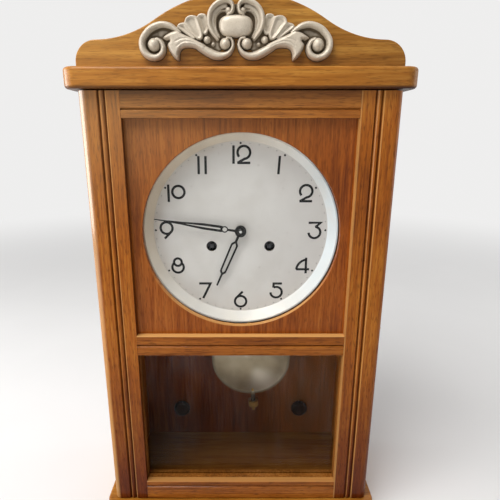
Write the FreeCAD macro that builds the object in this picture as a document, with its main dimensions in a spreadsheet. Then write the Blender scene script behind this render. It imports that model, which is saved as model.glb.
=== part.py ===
import FreeCAD, Part
import math
import os
import re
from types import SimpleNamespace

import Sketcher

# A wall regulator: an oak case with a glazed door, a spring driven movement that goes and strikes,
# and a pendulum. X runs to the right, Y to the back, Z up. The wall is the plane y = 0, and the
# origin is the centre of the hanger's hole on it. Depths are counted back from the door's front.

Vector = FreeCAD.Vector
doc = FreeCAD.newDocument("regulator_clock")
sheet = doc.addObject("Spreadsheet::Sheet", "Sizes")

SIZES = (
    # the case
    ("case_width", 310, "across the door and the sides"),
    ("case_depth", 130, "door front to wall"),
    ("dial_height", 334, "dial centre above the plinth"),
    ("side_thickness", 18, "side boards"),
    ("back_thickness", 9, "back board"),
    ("back_lap", 8, "rebate of the back board in each side"),
    ("cornice_thickness", 19.5, "board over the door"),
    ("cornice_overhang", 8, "past the door's front"),
    ("cornice_reach", 11.7, "past the sides"),
    ("cornice_corner", 14, "plan rounding of its front corners"),
    ("plinth_thickness", 24, "board under the door"),
    ("plinth_overhang", 9.5, "past the door's front and the sides"),
    ("plinth_corner", 16, "plan rounding of its front corners"),
    ("edge_round", 3.5, "rounded edges of cornice and plinth"),
    # the pediment over the cornice
    ("pediment_inset", 0.5, "its ends inside the case sides"),
    ("pediment_rise", 64, "cornice to apex"),
    ("pediment_setback", 4, "depth of its face"),
    ("pediment_thickness", 18, "board"),
    ("arch_radius", 146, "middle arch"),
    ("sweep_radius", 105, "hollow beside the arch"),
    ("shoulder_radius", 20, "rounded ends"),
    ("crest_relief", 11, "carving in front of the board"),
    ("crest_shift", 4.3, "carving left of the middle"),
    # the door
    ("door_thickness", 20, "stiles and rails"),
    ("door_clearance", 1, "over and under the door"),
    ("door_gap", 0.5, "between door and case"),
    ("stile_width", 40.5, "upright members"),
    ("stile_round", 7.5, "outer front edge"),
    ("bead_offset", 13, "inner edge to the bead's groove"),
    ("groove_width", 3, "grooves in the front"),
    ("groove_depth", 2.2, "grooves in the front"),
    ("top_rail_width", 25, "cross member"),
    ("mid_rail_width", 23.5, "cross member"),
    ("bottom_rail_width", 25, "cross member"),
    ("lip_depth", 7, "wood in front of panel and glass"),
    ("rebate_width", 8, "seat of panel and glass"),
    ("tenon_length", 16, "rails into stiles"),
    ("tenon_thickness", 6, "rails into stiles"),
    ("panel_thickness", 6, "board round the dial"),
    ("panel_side", 10.7, "panel beside the dial ring"),
    ("panel_head", 12.7, "panel over the dial ring"),
    ("panel_foot", 9.2, "panel under the dial ring"),
    ("panel_lap", 0.5, "panel in front of the ring's edge"),
    ("hole_shift", 0.8, "panel's hole right of the dial's middle"),
    ("glass_thickness", 2, "both panes"),
    ("hinge_height", 40, "butt hinge"),
    ("hinge_inset", 55, "hinge middle from the door's end"),
    ("hinge_radius", 2.2, "knuckle"),
    ("hinge_offset", 2.6, "pin outside the case side"),
    ("latch_height", 225, "hook pivot above the plinth"),
    ("latch_reach", 34, "pivot to stud"),
    ("stud_inset", 5, "stud in front of the door's back"),
    # wall fittings
    ("hanger_offset", 4.2, "hanger hole over the dial ring"),
    ("hanger_radius", 6, "entry hole of the hanger"),
    ("hanger_slot_radius", 3.2, "slot over the entry hole"),
    ("level_spacing", 172, "between the levelling screws"),
    ("level_height", 46, "levelling screws above the plinth"),
    ("level_knob_radius", 11.4, "black knob"),
    # dial and hands
    ("dial_depth", 29.2, "dial face"),
    ("dial_lap", 0.8, "dial plate short of the ring's outer edge"),
    ("dial_thickness", 1, "dial plate"),
    ("ring_depth", 16.4, "front of the reflector ring"),
    ("ring_width", 8.8, "slope from its outer edge to the dial"),
    ("winding_spacing", 64, "between the winding squares"),
    ("winding_drop", 18, "winding squares under the dial centre"),
    ("winding_hole_radius", 5.8, "holes in the dial"),
    ("minute_gap", 1.2, "minute hand's tip to the ring's foot"),
    ("hour_length", 68, "hand"),
    ("minute_angle", 278.4, "stored pose, clockwise from twelve"),
    ("hour_angle", 203, "stored pose, clockwise from twelve"),
    # the movement
    ("movement_depth", 46, "front plate's face"),
    ("plate_thickness", 2.5, "brass plates"),
    ("plate_gap", 34, "between the plates"),
    ("plate_half", 62, "half of the plates' width"),
    ("plate_rise", 76, "plates above the dial centre"),
    ("plate_fall", 60, "plates under the dial centre"),
    ("great_module", 0.7, "barrel wheels"),
    ("second_module", 0.6, "second wheels"),
    ("centre_module", 0.48, "centre wheel"),
    ("third_module", 0.42, "third wheel"),
    ("motion_module", 0.7, "cannon pinion and minute wheel"),
    ("escape_radius", 13, "escape wheel tips"),
    ("anchor_rise", 22, "anchor over the escape wheel"),
    ("drum_radius", 21.5, "spring barrels"),
    ("arbor_radius", 1.2, "train arbors"),
    ("pivot_radius", 0.8, "arbor ends in the plates"),
    ("running_gap", 0.05, "radial clearance of turning fits"),
    # pendulum and strike
    ("pendulum_depth", 96, "plane of the pendulum"),
    ("pendulum_length", 254, "pivot to bob centre"),
    ("pendulum_angle", 3.2, "stored pose, bob to the right"),
    ("bob_radius", 53, "bob"),
    ("bob_bulge", 6.5, "rise of each face"),
    ("rod_radius", 2, "pendulum rod"),
    ("gong_length", 176, "gong rods"),
    ("gong_radius", 1.5, "gong rods"),
    ("gong_x", 72, "gong rods left of the middle"),
)

for row, (alias, value, meaning) in enumerate(SIZES, 1):
    sheet.set(f"A{row}", meaning)
    sheet.set(f"B{row}", str(value))
    sheet.setAlias(f"B{row}", alias)
doc.recompute()
mm = SimpleNamespace(**{alias: float(sheet.get(alias)) for alias, _, _ in SIZES})
ALIASES = {alias for alias, _, _ in SIZES}

# Shared reference lines, as expressions on the sheet
FRONT = "(-case_depth)"
HALF = "(case_width / 2)"
OPENING = f"({HALF} - stile_width)"
RING = f"({OPENING} - panel_side)"
DIAL = f"(-{RING} - hanger_offset)"
FLOOR = f"({DIAL} - dial_height)"
CEILING = f"({DIAL} + {RING} + panel_head + top_rail_width + door_clearance)"
HEIGHT = f"({CEILING} - {FLOOR})"
MID_TOP = f"({DIAL} - {RING} - panel_foot)"
DOOR_BOTTOM = f"({FLOOR} + door_clearance)"
DOOR_TOP = f"({CEILING} - door_clearance)"
DOOR_BACK = f"({FRONT} + door_thickness)"
CASE_FRONT = f"({DOOR_BACK} + door_gap)"
WALL_FACE = "(-back_thickness)"
STUD = f"({DOOR_BACK} - stud_inset)"

nodes = []


def bound(text):
    """An expression in sheet aliases, written for setExpression."""
    return re.sub(r"[a-z_]\w*", lambda m: "Sizes." + m[0] if m[0] in ALIASES else m[0], str(text))


def bind(item, sizes):
    for path, text in sizes.items():
        item.setExpression(path, bound(text))
    return item


def place(item, x=0, y=0, z=0, axis="Z"):
    """Move an item to x, y, z with its own Z along the named axis."""
    turns = {"Z": (Vector(0, 0, 1), 0), "Y": (Vector(1, 0, 0), -90), "X": (Vector(0, 1, 0), 90)}
    item.Placement = FreeCAD.Placement(Vector(), FreeCAD.Rotation(*turns[axis]))
    return bind(item, {"Placement.Base.x": x, "Placement.Base.y": y, "Placement.Base.z": z})


def named(item, label):
    item.Label = label
    nodes.append(item)
    return item


def box(x, y, z, length, width, height):
    """A board from its low corner."""
    item = doc.addObject("Part::Box", "board")
    bind(item, {"Length": length, "Width": width, "Height": height})
    return place(item, x, y, z)


def rod(x, y, z, radius, height, axis="Z"):
    """A round bar from its start, along an axis."""
    item = doc.addObject("Part::Cylinder", "bar")
    bind(item, {"Radius": radius, "Height": height})
    return place(item, x, y, z, axis)


def cone(x, y, z, radius, tip_radius, height, axis="Z"):
    item = doc.addObject("Part::Cone", "taper")
    bind(item, {"Radius1": radius, "Radius2": tip_radius, "Height": height})
    return place(item, x, y, z, axis)


def fuse(*items):
    item = doc.addObject("Part::MultiFuse", "joined")
    item.Shapes = list(items)
    return item


def group(*items):
    item = doc.addObject("Part::Compound", "set")
    item.Links = list(items)
    return item


def cut(base, *tools):
    item = doc.addObject("Part::Cut", "worked")
    item.Base = base
    item.Tool = tools[0] if len(tools) == 1 else fuse(*tools)
    return item


def outline(body, plane, corners, start):
    """A closed sketch on one of the body's planes, moved out by start, with its corners bound."""
    origin = [f for f in body.Origin.OriginFeatures if f.Role == plane][0]
    sketch = body.newObject("Sketcher::SketchObject", "outline")
    sketch.AttachmentSupport = [(origin, "")]
    sketch.MapMode = "FlatFace"
    sketch.setExpression("AttachmentOffset.Base.z", bound(start))
    count = len(corners)
    turn = 2 * math.pi / count
    ring = [Vector(50 * math.cos(k * turn), 50 * math.sin(k * turn), 0) for k in range(count)]
    for k in range(count):
        sketch.addGeometry(Part.LineSegment(ring[k], ring[(k + 1) % count]), False)
    for k in range(count):
        sketch.addConstraint(Sketcher.Constraint("Coincident", k, 2, (k + 1) % count, 1))
    for k, corner in enumerate(corners):
        for kind, start_value, text in zip(("DistanceX", "DistanceY"), ring[k], corner):
            number = sketch.addConstraint(Sketcher.Constraint(kind, -1, 1, k, 1, start_value))
            sketch.setExpression(f"Constraints[{number}]", bound(text))
    return sketch


def prism(plane, corners, start, length):
    """A straight piece with the outline as its section. XZ outlines run forward, to low Y."""
    body = doc.addObject("PartDesign::Body", "piece")
    pad = body.newObject("PartDesign::Pad", "length")
    pad.Profile = outline(body, plane, corners, start)
    pad.setExpression("Length", bound(length))
    body.Tip = pad
    return body


def turned(corners, x=0, y=0, z=0, axis="Y"):
    """A piece turned about its own axis, from (radius, height) corners."""
    body = doc.addObject("PartDesign::Body", "turning")
    spin = body.newObject("PartDesign::Revolution", "turn")
    sketch = outline(body, "XZ_Plane", corners, 0)
    spin.Profile = sketch
    spin.ReferenceAxis = (sketch, ["V_Axis"])
    spin.Angle = 360
    body.Tip = spin
    return place(body, x, y, z, axis)


def rounded(body, radius, wanted):
    """Round the edges of a body whose middle point is wanted."""
    doc.recompute()
    tip = body.Tip
    edges = tip.Shape.Edges
    names = [
        f"Edge{k}"
        for k, edge in enumerate(edges, 1)
        if wanted(edge.valueAt((edge.FirstParameter + edge.LastParameter) / 2), edge)
    ]
    item = body.newObject("PartDesign::Fillet", "round")
    item.Base = (tip, names)
    item.setExpression("Radius", bound(radius))
    body.Tip = item
    return body


def solid(shape, x=0, y=0, z=0):
    """A computed shape, put in place by its own origin."""
    item = doc.addObject("Part::Feature", "formed")
    item.Shape = shape
    item.Placement.Base = Vector(x, y, z)
    return item


def bar(radius, start, end, x=0, z=0):
    """A round solid along Y."""
    return Part.makeCylinder(radius, end - start, Vector(x, start, z), Vector(0, 1, 0))


def flat(points, start, end):
    """A solid along Y over a polygon of (x, z) points."""
    wire = Part.makePolygon([Vector(x, start, z) for x, z in points + points[:1]])
    return Part.Face(wire).extrude(Vector(0, end - start, 0))


# Case: two sides with a rebated back board between them, under a cornice and on a plinth
for label, side in (("left_side", -1), ("right_side", 1)):
    inside = f"{HALF} - side_thickness"
    section = [
        (f"{side} * {HALF}", CASE_FRONT),
        (f"{side} * ({inside})", CASE_FRONT),
        (f"{side} * ({inside})", WALL_FACE),
        (f"{side} * ({inside} + back_lap)", WALL_FACE),
        (f"{side} * ({inside} + back_lap)", 0),
        (f"{side} * {HALF}", 0),
    ]
    board = prism("XY_Plane", section, FLOOR, HEIGHT)
    if side < 0:
        seats = [
            box(f"-{HALF} - 1", f"{CASE_FRONT} - 1", f"{z} - hinge_height / 2 - 0.1",
                "15.2", "1.9", "hinge_height + 0.2")
            for z in (f"{DOOR_BOTTOM} + hinge_inset", f"{DOOR_TOP} - hinge_inset")
        ]
        board = cut(board, *seats)
    else:
        board = cut(board, rod(f"{HALF} - 12", f"{STUD} + latch_reach",
                               f"{FLOOR} + latch_height", "1.5", "20", "X"))
    named(board, label)

back_half = f"({HALF} - side_thickness + back_lap)"
level_x = "level_spacing / 2"
level_z = f"({FLOOR} + level_height)"
bracket_holes = [(side * 49, z) for side in (-1, 1) for z in (-34, 22)]
screw_seats = [
    rod(x, f"{WALL_FACE} - 1", f"{DIAL} + {z}", "1.55", "8", "Y") for x, z in bracket_holes
]
hanger_seats = [rod(x, "-8", "-9", "1.55", "9", "Y") for x in (-22, 22)]
board = cut(
    box(f"-{back_half}", WALL_FACE, FLOOR, f"2 * {back_half}", "back_thickness", HEIGHT),
    box("-30.1", "-2.05", "-20.1", "60.2", "3", "40.2"),
    rod("0", "-6.5", "0", "hanger_radius + 3", "6", "Y"),
    box("-(hanger_slot_radius + 3)", "-6.5", "0", "2 * hanger_slot_radius + 6", "6", "15"),
    rod(f"-{level_x}", f"{WALL_FACE} - 1", level_z, "4.05", "back_thickness + 2", "Y"),
    rod(level_x, f"{WALL_FACE} - 1", level_z, "4.05", "back_thickness + 2", "Y"),
    *screw_seats,
    *hanger_seats,
)
named(board, "back_board")

for label, overhang, past_side, corner, bottom in (
    ("cornice", "cornice_overhang", "cornice_reach", "cornice_corner", CEILING),
    ("plinth", "plinth_overhang", "plinth_overhang", "plinth_corner", f"{FLOOR} - plinth_thickness"),
):
    thickness = label + "_thickness"
    reach = f"({HALF} + {past_side})"
    face = f"({FRONT} - {overhang})"
    plan = [(f"-{reach}", face), (reach, face), (reach, 0), (f"-{reach}", 0)]
    board = prism("XY_Plane", plan, bottom, thickness)
    rounded(board, corner, lambda p, e: p.y < -20 and abs(e.tangentAt(e.FirstParameter).z) > 0.9)
    rounded(board, "edge_round", lambda p, e: p.y < -1 and abs(e.tangentAt(e.FirstParameter).z) < 0.1)
    named(board, label)

# Pediment: an arch between two hollow sweeps and rounded shoulders, cut from one board
base = mm.panel_head + mm.top_rail_width + mm.door_clearance - mm.hanger_offset + mm.cornice_thickness
pediment_half = mm.case_width / 2 - mm.pediment_inset
arch = Vector(0, 0, base + mm.pediment_rise - mm.arch_radius)
shoulder = Vector(pediment_half - mm.shoulder_radius, 0, base + 4)


def circles_meet(a, ra, b, rb, above=True):
    """The point at ra from a and rb from b, in the XZ plane."""
    span = b - a
    along = (ra**2 - rb**2 + span.Length**2) / (2 * span.Length)
    across = math.sqrt(ra**2 - along**2)
    span.normalize()
    square = Vector(-span.z, 0, span.x) if above else Vector(span.z, 0, -span.x)
    return a + span * along + square * across


sweep = circles_meet(
    arch, mm.arch_radius + mm.sweep_radius, shoulder, mm.shoulder_radius + mm.sweep_radius
)


def toward(centre, target, radius):
    return centre + (target - centre).normalize() * radius


def mirrored(p):
    return Vector(-p.x, p.y, p.z)


apex = arch + Vector(0, 0, mm.arch_radius)
arch_end = toward(arch, sweep, mm.arch_radius)
sweep_end = toward(shoulder, sweep, mm.shoulder_radius)
sweep_low = toward(sweep, (arch_end + sweep_end) * 0.5, mm.sweep_radius)
side_top = shoulder + Vector(mm.shoulder_radius, 0, 0)
shoulder_mid = toward(shoulder, (side_top + sweep_end) * 0.5, mm.shoulder_radius)
foot = Vector(side_top.x, 0, base)
edge = [
    Part.LineSegment(foot, side_top),
    Part.Arc(side_top, shoulder_mid, sweep_end),
    Part.Arc(sweep_end, sweep_low, arch_end),
    Part.Arc(arch_end, apex, mirrored(arch_end)),
    Part.Arc(mirrored(arch_end), mirrored(sweep_low), mirrored(sweep_end)),
    Part.Arc(mirrored(sweep_end), mirrored(shoulder_mid), mirrored(side_top)),
    Part.LineSegment(mirrored(side_top), mirrored(foot)),
    Part.LineSegment(mirrored(foot), foot),
]
board = Part.Face(Part.Wire([e.toShape() for e in edge])).extrude(Vector(0, mm.pediment_thickness, 0))
named(solid(board, y=mm.pediment_setback - mm.case_depth), "pediment")

# Carved crest on the pediment: two long scrolls, two small ones over a boss, leaf fans and beads.
# Its points are (x, height over the cornice) on the pediment's face.
crest_face = mm.pediment_setback - mm.case_depth


def spiral(centre, first, last, turn_from, turn_to, count):
    """Points round a centre, the radius going from first to last."""
    points = []
    for k in range(count + 1):
        share = k / count
        angle = math.radians(turn_from + (turn_to - turn_from) * share)
        radius = first + (last - first) * share
        points.append((centre[0] + radius * math.cos(angle), centre[1] + radius * math.sin(angle)))
    return points


def scroll(points, width, relief, side):
    """A raised band of even width along a curve on the face."""
    edges = ([], [])
    for k, (x, h) in enumerate(points):
        before = points[max(k - 1, 0)]
        after = points[min(k + 1, len(points) - 1)]
        run = math.hypot(after[0] - before[0], after[1] - before[1])
        normal = ((before[1] - after[1]) / run, (after[0] - before[0]) / run)
        for line, way in zip(edges, (width / 2, -width / 2)):
            line.append((side * (x + way * normal[0]), h + way * normal[1]))
    return flat(edges[0] + edges[1][::-1], -relief, 0)


def lobe(x, h, length, width, relief, lean, side):
    """A long boss on the face, narrowing to its top, its length leaning clockwise from upright."""
    rings = []
    for share, y in ((1, 0), (0.8, -0.65 * relief), (0.35, -relief)):
        ring = []
        for k in range(12):
            angle = math.radians(30 * k)
            across, along = share * width / 2 * math.cos(angle), share * length / 2 * math.sin(angle)
            tilt = math.radians(lean)
            dx = across * math.cos(tilt) + along * math.sin(tilt)
            dh = along * math.cos(tilt) - across * math.sin(tilt)
            ring.append(Vector(side * (x + dx), y, h + dh))
        rings.append(Part.makePolygon(ring + ring[:1]))
    return Part.makeLoft(rings, True, True)


pieces = []
for side in (-1, 1):
    long_scroll = spiral((77.5, 24), 4.5, 11.5, 190, -95, 12)
    long_scroll += [(66, 10.6), (56, 9.4), (44, 9.4), (32, 10.6), (20, 11.2)]
    long_scroll += spiral((10.4, 20.6), 9.4, 4.6, 262, -20, 12)
    small_scroll = spiral((8.6, 47.4), 3.6, 7, 320, 75, 10)
    small_scroll += [(17.4, 51.6), (22.5, 45.5), (23.8, 38), (21.5, 30.5), (16, 25.5)]
    pieces.append(scroll(long_scroll, 5.6, 5, side))
    pieces.append(scroll(small_scroll, 5, 5, side))
    pieces.append(lobe(77.5, 24, 8, 8, 7, 0, side))
    pieces.append(lobe(10.4, 20.6, 7, 7, 6, 0, side))
    pieces.append(lobe(56, 21, 28, 9, 6, 10, side))
    for x, h, length, lean in ((42.5, 33.5, 26, 62), (38.5, 37.5, 24, 36), (32.5, 37.5, 22, 10)):
        pieces.append(lobe(x, h, length, 8.6, 6.4, lean, side))
    pieces.append(lobe(26, 25.5, 11, 11, 5, 0, side))
pieces.append(lobe(0, 35, 24, 31, mm.crest_relief, 0, 1))
carving = pieces[0].multiFuse(pieces[1:])
named(solid(carving, -mm.crest_shift, crest_face, base), "carved_crest")

# Hanger: a steel keyhole plate let into the back board, flush with the wall
plate = cut(
    box("-30", "-2", "-20", "60", "2", "40"),
    rod("0", "-3", "0", "hanger_radius", "4", "Y"),
    box("-hanger_slot_radius", "-3", "0", "2 * hanger_slot_radius", "4", "11"),
    rod("0", "-3", "11", "hanger_slot_radius", "4", "Y"),
    *[cone(x, "-2", "-9", "1.6", "3.4", "2", "Y") for x in (-22, 22)],
)
named(plate, "hanger_plate")

# Screws: two in the hanger plate, four in the brackets, four under the back plate, one hook pivot
PLATE_BACK = f"({FRONT} + movement_depth + 2 * plate_thickness + plate_gap)"
hook_y = f"({STUD} + latch_reach)"
hook_z = f"({FLOOR} + latch_height)"
plate_screws = [(side * 51, z) for side in (-1, 1) for z in (-26, 14)]
screws = []
for x in (-22, 22):
    head = cone(x, "-1.6", "-9", "1.5", "3", "1.6", "Y")
    screws.append(fuse(head, rod(x, "-7.5", "-9", "1.5", "6.5", "Y")))
for x, z in bracket_holes:
    head = rod(x, f"{WALL_FACE} - 5", f"{DIAL} + {z}", "3", "2", "Y")
    screws.append(fuse(head, rod(x, f"{WALL_FACE} - 4", f"{DIAL} + {z}", "1.5", "10", "Y")))
for x, z in plate_screws:
    head = rod(x, f"{PLATE_BACK} + 3", f"{DIAL} + {z}", "3", "2", "Y")
    shank = rod(x, f"{PLATE_BACK} - plate_thickness", f"{DIAL} + {z}", "1.5", "plate_thickness + 4", "Y")
    screws.append(fuse(head, shank))
screws.append(
    fuse(
        rod(f"{HALF} - 11.5", hook_y, hook_z, "1.45", "12", "X"),
        rod(HALF, hook_y, hook_z, "2", "1.8", "X"),
        rod(f"{HALF} + 1.8", hook_y, hook_z, "3.6", "1.2", "X"),
    )
)
named(group(*screws), "screws")

# Hinges: brass butts with the pin outside the left side, the case leaf holding the pin
pin_x = f"(-{HALF} - hinge_offset)"
pin_y = f"({DOOR_BACK} + door_gap / 2)"
segment = "hinge_height / 3"
case_leaves = []
door_leaves = []
for middle in (f"({DOOR_BOTTOM} + hinge_inset)", f"({DOOR_TOP} - hinge_inset)"):
    low = f"({middle} - hinge_height / 2)"
    parts = []
    for start in (low, f"({low} + 2 * {segment})"):
        parts.append(rod(pin_x, pin_y, start, "hinge_radius", segment))
        parts.append(box(pin_x, f"{pin_y} + 0.05", start, "4", "0.9", segment))
    parts.append(box(f"-{HALF}", f"{pin_y} + 0.05", low, "14", "0.9", "hinge_height"))
    parts.append(rod(pin_x, pin_y, low, "1", "hinge_height"))
    case_leaves.append(fuse(*parts))
    knuckle = rod(pin_x, pin_y, f"{low} + {segment} + 0.1", "hinge_radius", f"{segment} - 0.2")
    strap = box(pin_x, f"{pin_y} - 0.95", f"{low} + {segment} + 0.1", "4", "0.9", f"{segment} - 0.2")
    leaf = box(f"-{HALF}", f"{pin_y} - 0.95", low, "14", "0.9", "hinge_height")
    bore = rod(pin_x, pin_y, low, "1 + running_gap", "hinge_height")
    door_leaves.append(cut(fuse(knuckle, strap, leaf), bore))
named(group(*case_leaves), "case_hinges")
named(group(*door_leaves), "door_hinges")

# Door: two moulded stiles, three rails tenoned into them, a dial panel and two panes
RAILS = (
    ("top_rail", f"({DOOR_TOP} - top_rail_width)", "top_rail_width", 1, 0, "top_rail_width * 0.33"),
    ("mid_rail", f"({MID_TOP} - mid_rail_width)", "mid_rail_width", 1, 1, "mid_rail_width / 2"),
    ("bottom_rail", DOOR_BOTTOM, "bottom_rail_width", 0, 1, "bottom_rail_width * 0.7"),
)
seat = f"({OPENING} + rebate_width)"
tenon_y = f"({FRONT} + lip_depth + 3)"
for label, side in (("left_stile", -1), ("right_stile", 1)):
    groove = f"{OPENING} + bead_offset"
    front_line = [
        (groove, 0),
        (f"{groove} + groove_width / 2", "groove_depth"),
        (f"{groove} + groove_width", 0.8),
        (f"{groove} + groove_width + 0.9", 0),
        (f"{groove} + 2 * groove_width - 0.9", 0),
        (f"{groove} + 2 * groove_width", 0.8),
        (f"{groove} + 2.5 * groove_width", "groove_depth"),
        (f"{groove} + 3 * groove_width", 0),
    ]
    section = [(OPENING, FRONT)]
    section += [(x, f"{FRONT} + {y}") for x, y in front_line]
    section += [(HALF, FRONT), (HALF, DOOR_BACK), (seat, DOOR_BACK)]
    section += [(seat, f"{FRONT} + lip_depth"), (OPENING, f"{FRONT} + lip_depth")]
    section = [(f"{side} * ({x})", y) for x, y in section]
    stile = prism("XY_Plane", section, DOOR_BOTTOM, f"{HEIGHT} - 2 * door_clearance")
    edge_x, edge_y = side * mm.case_width / 2, -mm.case_depth
    rounded(stile, "stile_round", lambda p, e: abs(p.x - edge_x) + abs(p.y - edge_y) < 0.01)
    mortises = []
    for _, low, width, below, above, _ in RAILS:
        start = f"{low} + {below} * rebate_width + 0.4"
        height = f"{width} - ({below} + {above}) * rebate_width - 0.8"
        left = f"{seat} - 1" if side > 0 else f"-({seat} + tenon_length + 0.2)"
        mortises.append(
            box(left, f"{tenon_y} - 0.1", start, "tenon_length + 1.2", "tenon_thickness + 0.2", height)
        )
    if side < 0:
        for middle in (f"({DOOR_BOTTOM} + hinge_inset)", f"({DOOR_TOP} - hinge_inset)"):
            low = f"{middle} - hinge_height / 2 - 0.1"
            mortises.append(box(f"-{HALF} - 1", f"{DOOR_BACK} - 0.8", low, "15.2", "2", "hinge_height + 0.2"))
    else:
        mortises.append(rod(f"{HALF} - 9", STUD, hook_z, "1.5", "12", "X"))
    named(cut(stile, *mortises), label)

for label, low, width, below, above, groove in RAILS:
    top = f"({low} + {width})"
    groove_z = f"({low} + {groove})"
    section = [
        (FRONT, low),
        (FRONT, f"{groove_z} - groove_width / 2"),
        (f"{FRONT} + groove_depth", groove_z),
        (FRONT, f"{groove_z} + groove_width / 2"),
        (FRONT, top),
        (f"{FRONT} + lip_depth", top),
        (f"{FRONT} + lip_depth", low),
    ]
    face = prism("YZ_Plane", section, f"-({OPENING} - 0.05)", f"2 * {OPENING} - 0.1")
    start = f"({low} + {below} * rebate_width)"
    height = f"({width} - ({below} + {above}) * rebate_width)"
    back = box(f"-({seat} - 0.05)", f"{FRONT} + lip_depth", start, f"2 * {seat} - 0.1",
               "door_thickness - lip_depth", height)
    tenon = box(f"-({seat} + tenon_length)", tenon_y, f"{start} + 0.5", f"2 * ({seat} + tenon_length)",
                "tenon_thickness", f"{height} - 1")
    named(fuse(face, back, tenon), label)

pane = f"({seat} - 0.5)"
upper_low = f"({MID_TOP} - rebate_width + 0.5)"
upper_high = f"({DOOR_TOP} - top_rail_width + rebate_width - 0.5)"
lower_low = f"({DOOR_BOTTOM} + bottom_rail_width - rebate_width + 0.5)"
lower_high = f"({MID_TOP} - mid_rail_width + rebate_width - 0.5)"
panel_y = f"({FRONT} + lip_depth + 0.05)"
glass_y = f"({panel_y} + panel_thickness + 0.1)"
panel = box(f"-{pane}", panel_y, upper_low, f"2 * {pane}", "panel_thickness", f"{upper_high} - {upper_low}")
window_hole = rod("hole_shift", f"{panel_y} - 1", DIAL, f"{RING} - panel_lap", "panel_thickness + 2", "Y")
named(cut(panel, window_hole), "dial_panel")
strips = []
for label, low, high in (
    ("dial_glass", upper_low, upper_high),
    ("pendulum_glass", lower_low, lower_high),
):
    named(box(f"-{pane}", glass_y, low, f"2 * {pane}", "glass_thickness", f"{high} - {low}"), label)
    back_y = f"({glass_y} + glass_thickness + 0.1)"
    beads = [(back_y, f"{DOOR_BACK} - {back_y} - 0.3", "7")]
    if label == "pendulum_glass":
        beads.append((panel_y, "panel_thickness", "(rebate_width - 0.5)"))
    for front, depth, width in beads:
        for x in (f"-{pane}", f"{pane} - {width}"):
            strips.append(box(x, front, low, width, depth, f"{high} - {low}"))
        for z in (low, f"{high} - {width}"):
            across = f"2 * ({pane} - {width}) - 0.1"
            strips.append(box(f"-{pane} + {width} + 0.05", front, z, across, depth, width))
named(group(*strips), "glazing_beads")

# Latch: a stud in the door's right edge and a hook on the case side, hanging open
stud = fuse(
    rod(f"{HALF} - 8", STUD, hook_z, "1.45", "10.5", "X"),
    rod(f"{HALF} + 1.7", STUD, hook_z, "2.6", "0.8", "X"),
)
named(stud, "latch_stud")
arm = [
    (3.4, "0"),
    (3.4, "-latch_reach - 6"),
    (-3.4, "-latch_reach - 6"),
    (-3.4, "-latch_reach - 2.2"),
    (1.6, "-latch_reach - 2.2"),
    (1.6, "-latch_reach + 2.2"),
    (-3.4, "-latch_reach + 2.2"),
    (-3.4, "0"),
]
blade = prism("YZ_Plane", arm, "0.3", "1.2")
eye = fuse(blade, rod("0.3", "0", "0", "5", "1.2", "X"))
hook = cut(eye, rod("0", "0", "0", "2 + running_gap", "4", "X"))
named(place(hook, HALF, hook_y, hook_z), "latch_hook")

# Levelling screws: black fluted knobs whose shanks pass through the back board
for label, side in (("level_screw_left", -1), ("level_screw_right", 1)):
    shank_end = "9.9 + back_thickness"
    section = [
        (0, 0),
        ("level_knob_radius - 3", 0),
        ("level_knob_radius", 2.5),
        ("level_knob_radius", 7),
        ("level_knob_radius - 2", 8),
        (5.5, 8),
        (5.5, 9.4),
        (4, 9.4),
        (4, shank_end),
        (0, shank_end),
    ]
    knob = turned(section)
    flutes = [
        rod(f"(level_knob_radius + 0.6) * {math.cos(k * math.pi / 7):.5f}", "-1",
            f"(level_knob_radius + 0.6) * {math.sin(k * math.pi / 7):.5f}", "1.8", "9.2", "Y")
        for k in range(14)
    ]
    named(place(cut(knob, *flutes), f"{side} * {level_x}", f"{WALL_FACE} - 10.4", level_z), label)

# Dial plate on three feet, and the bright reflector ring standing on it
dial_y = f"({FRONT} + dial_depth)"
feet = [
    rod(x, f"{dial_y} + dial_thickness / 2", f"{DIAL} + {z}", "2",
        "movement_depth - dial_depth - dial_thickness / 2", "Y")
    for x, z in ((0, 52), (-45, -27), (45, -27))
]
face = cut(
    rod("0", dial_y, DIAL, f"{RING} - dial_lap", "dial_thickness", "Y"),
    rod("0", f"{dial_y} - 1", DIAL, "4.2", "3", "Y"),
    *[
        rod(f"{side} * winding_spacing / 2", f"{dial_y} - 1", f"{DIAL} - winding_drop",
            "winding_hole_radius", "dial_thickness + 2", "Y")
        for side in (-1, 1)
    ],
)
named(fuse(face, *feet), "dial_plate")
ring_length = "(dial_depth - ring_depth)"
ring_foot = f"({RING} - ring_width)"
ring_section = [
    (f"{RING} - 1.6", 0),
    (RING, 0),
    (RING, 1.4),
    (f"{ring_foot} + 1.4", ring_length),
    (ring_foot, ring_length),
]
ring = turned(ring_section, "0", f"{FRONT} + ring_depth", DIAL)
named(ring, "dial_ring")

# Movement: arbor centres, measured from the dial centre
front_face = mm.movement_depth - mm.case_depth
inside_front = front_face + mm.plate_thickness
inside_back = inside_front + mm.plate_gap
back_face = inside_back + mm.plate_thickness
dial_z = mm.stile_width + mm.panel_side - mm.case_width / 2 - mm.hanger_offset
GREAT, SECOND, CENTRE, THIRD, ESCAPE = 72, 60, 72, 80, 40
SECOND_PINION, CENTRE_PINION, THIRD_PINION, ESCAPE_PINION = 12, 10, 8, 8
CANNON, MINUTE, MINUTE_PINION, HOUR = 12, 36, 10, 40


def spacing(module, wheel, pinion):
    return module * (wheel + pinion) / 2


def polar(start, length, degrees):
    angle = math.radians(degrees)
    return start + Vector(length * math.cos(angle), 0, length * math.sin(angle))


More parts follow.
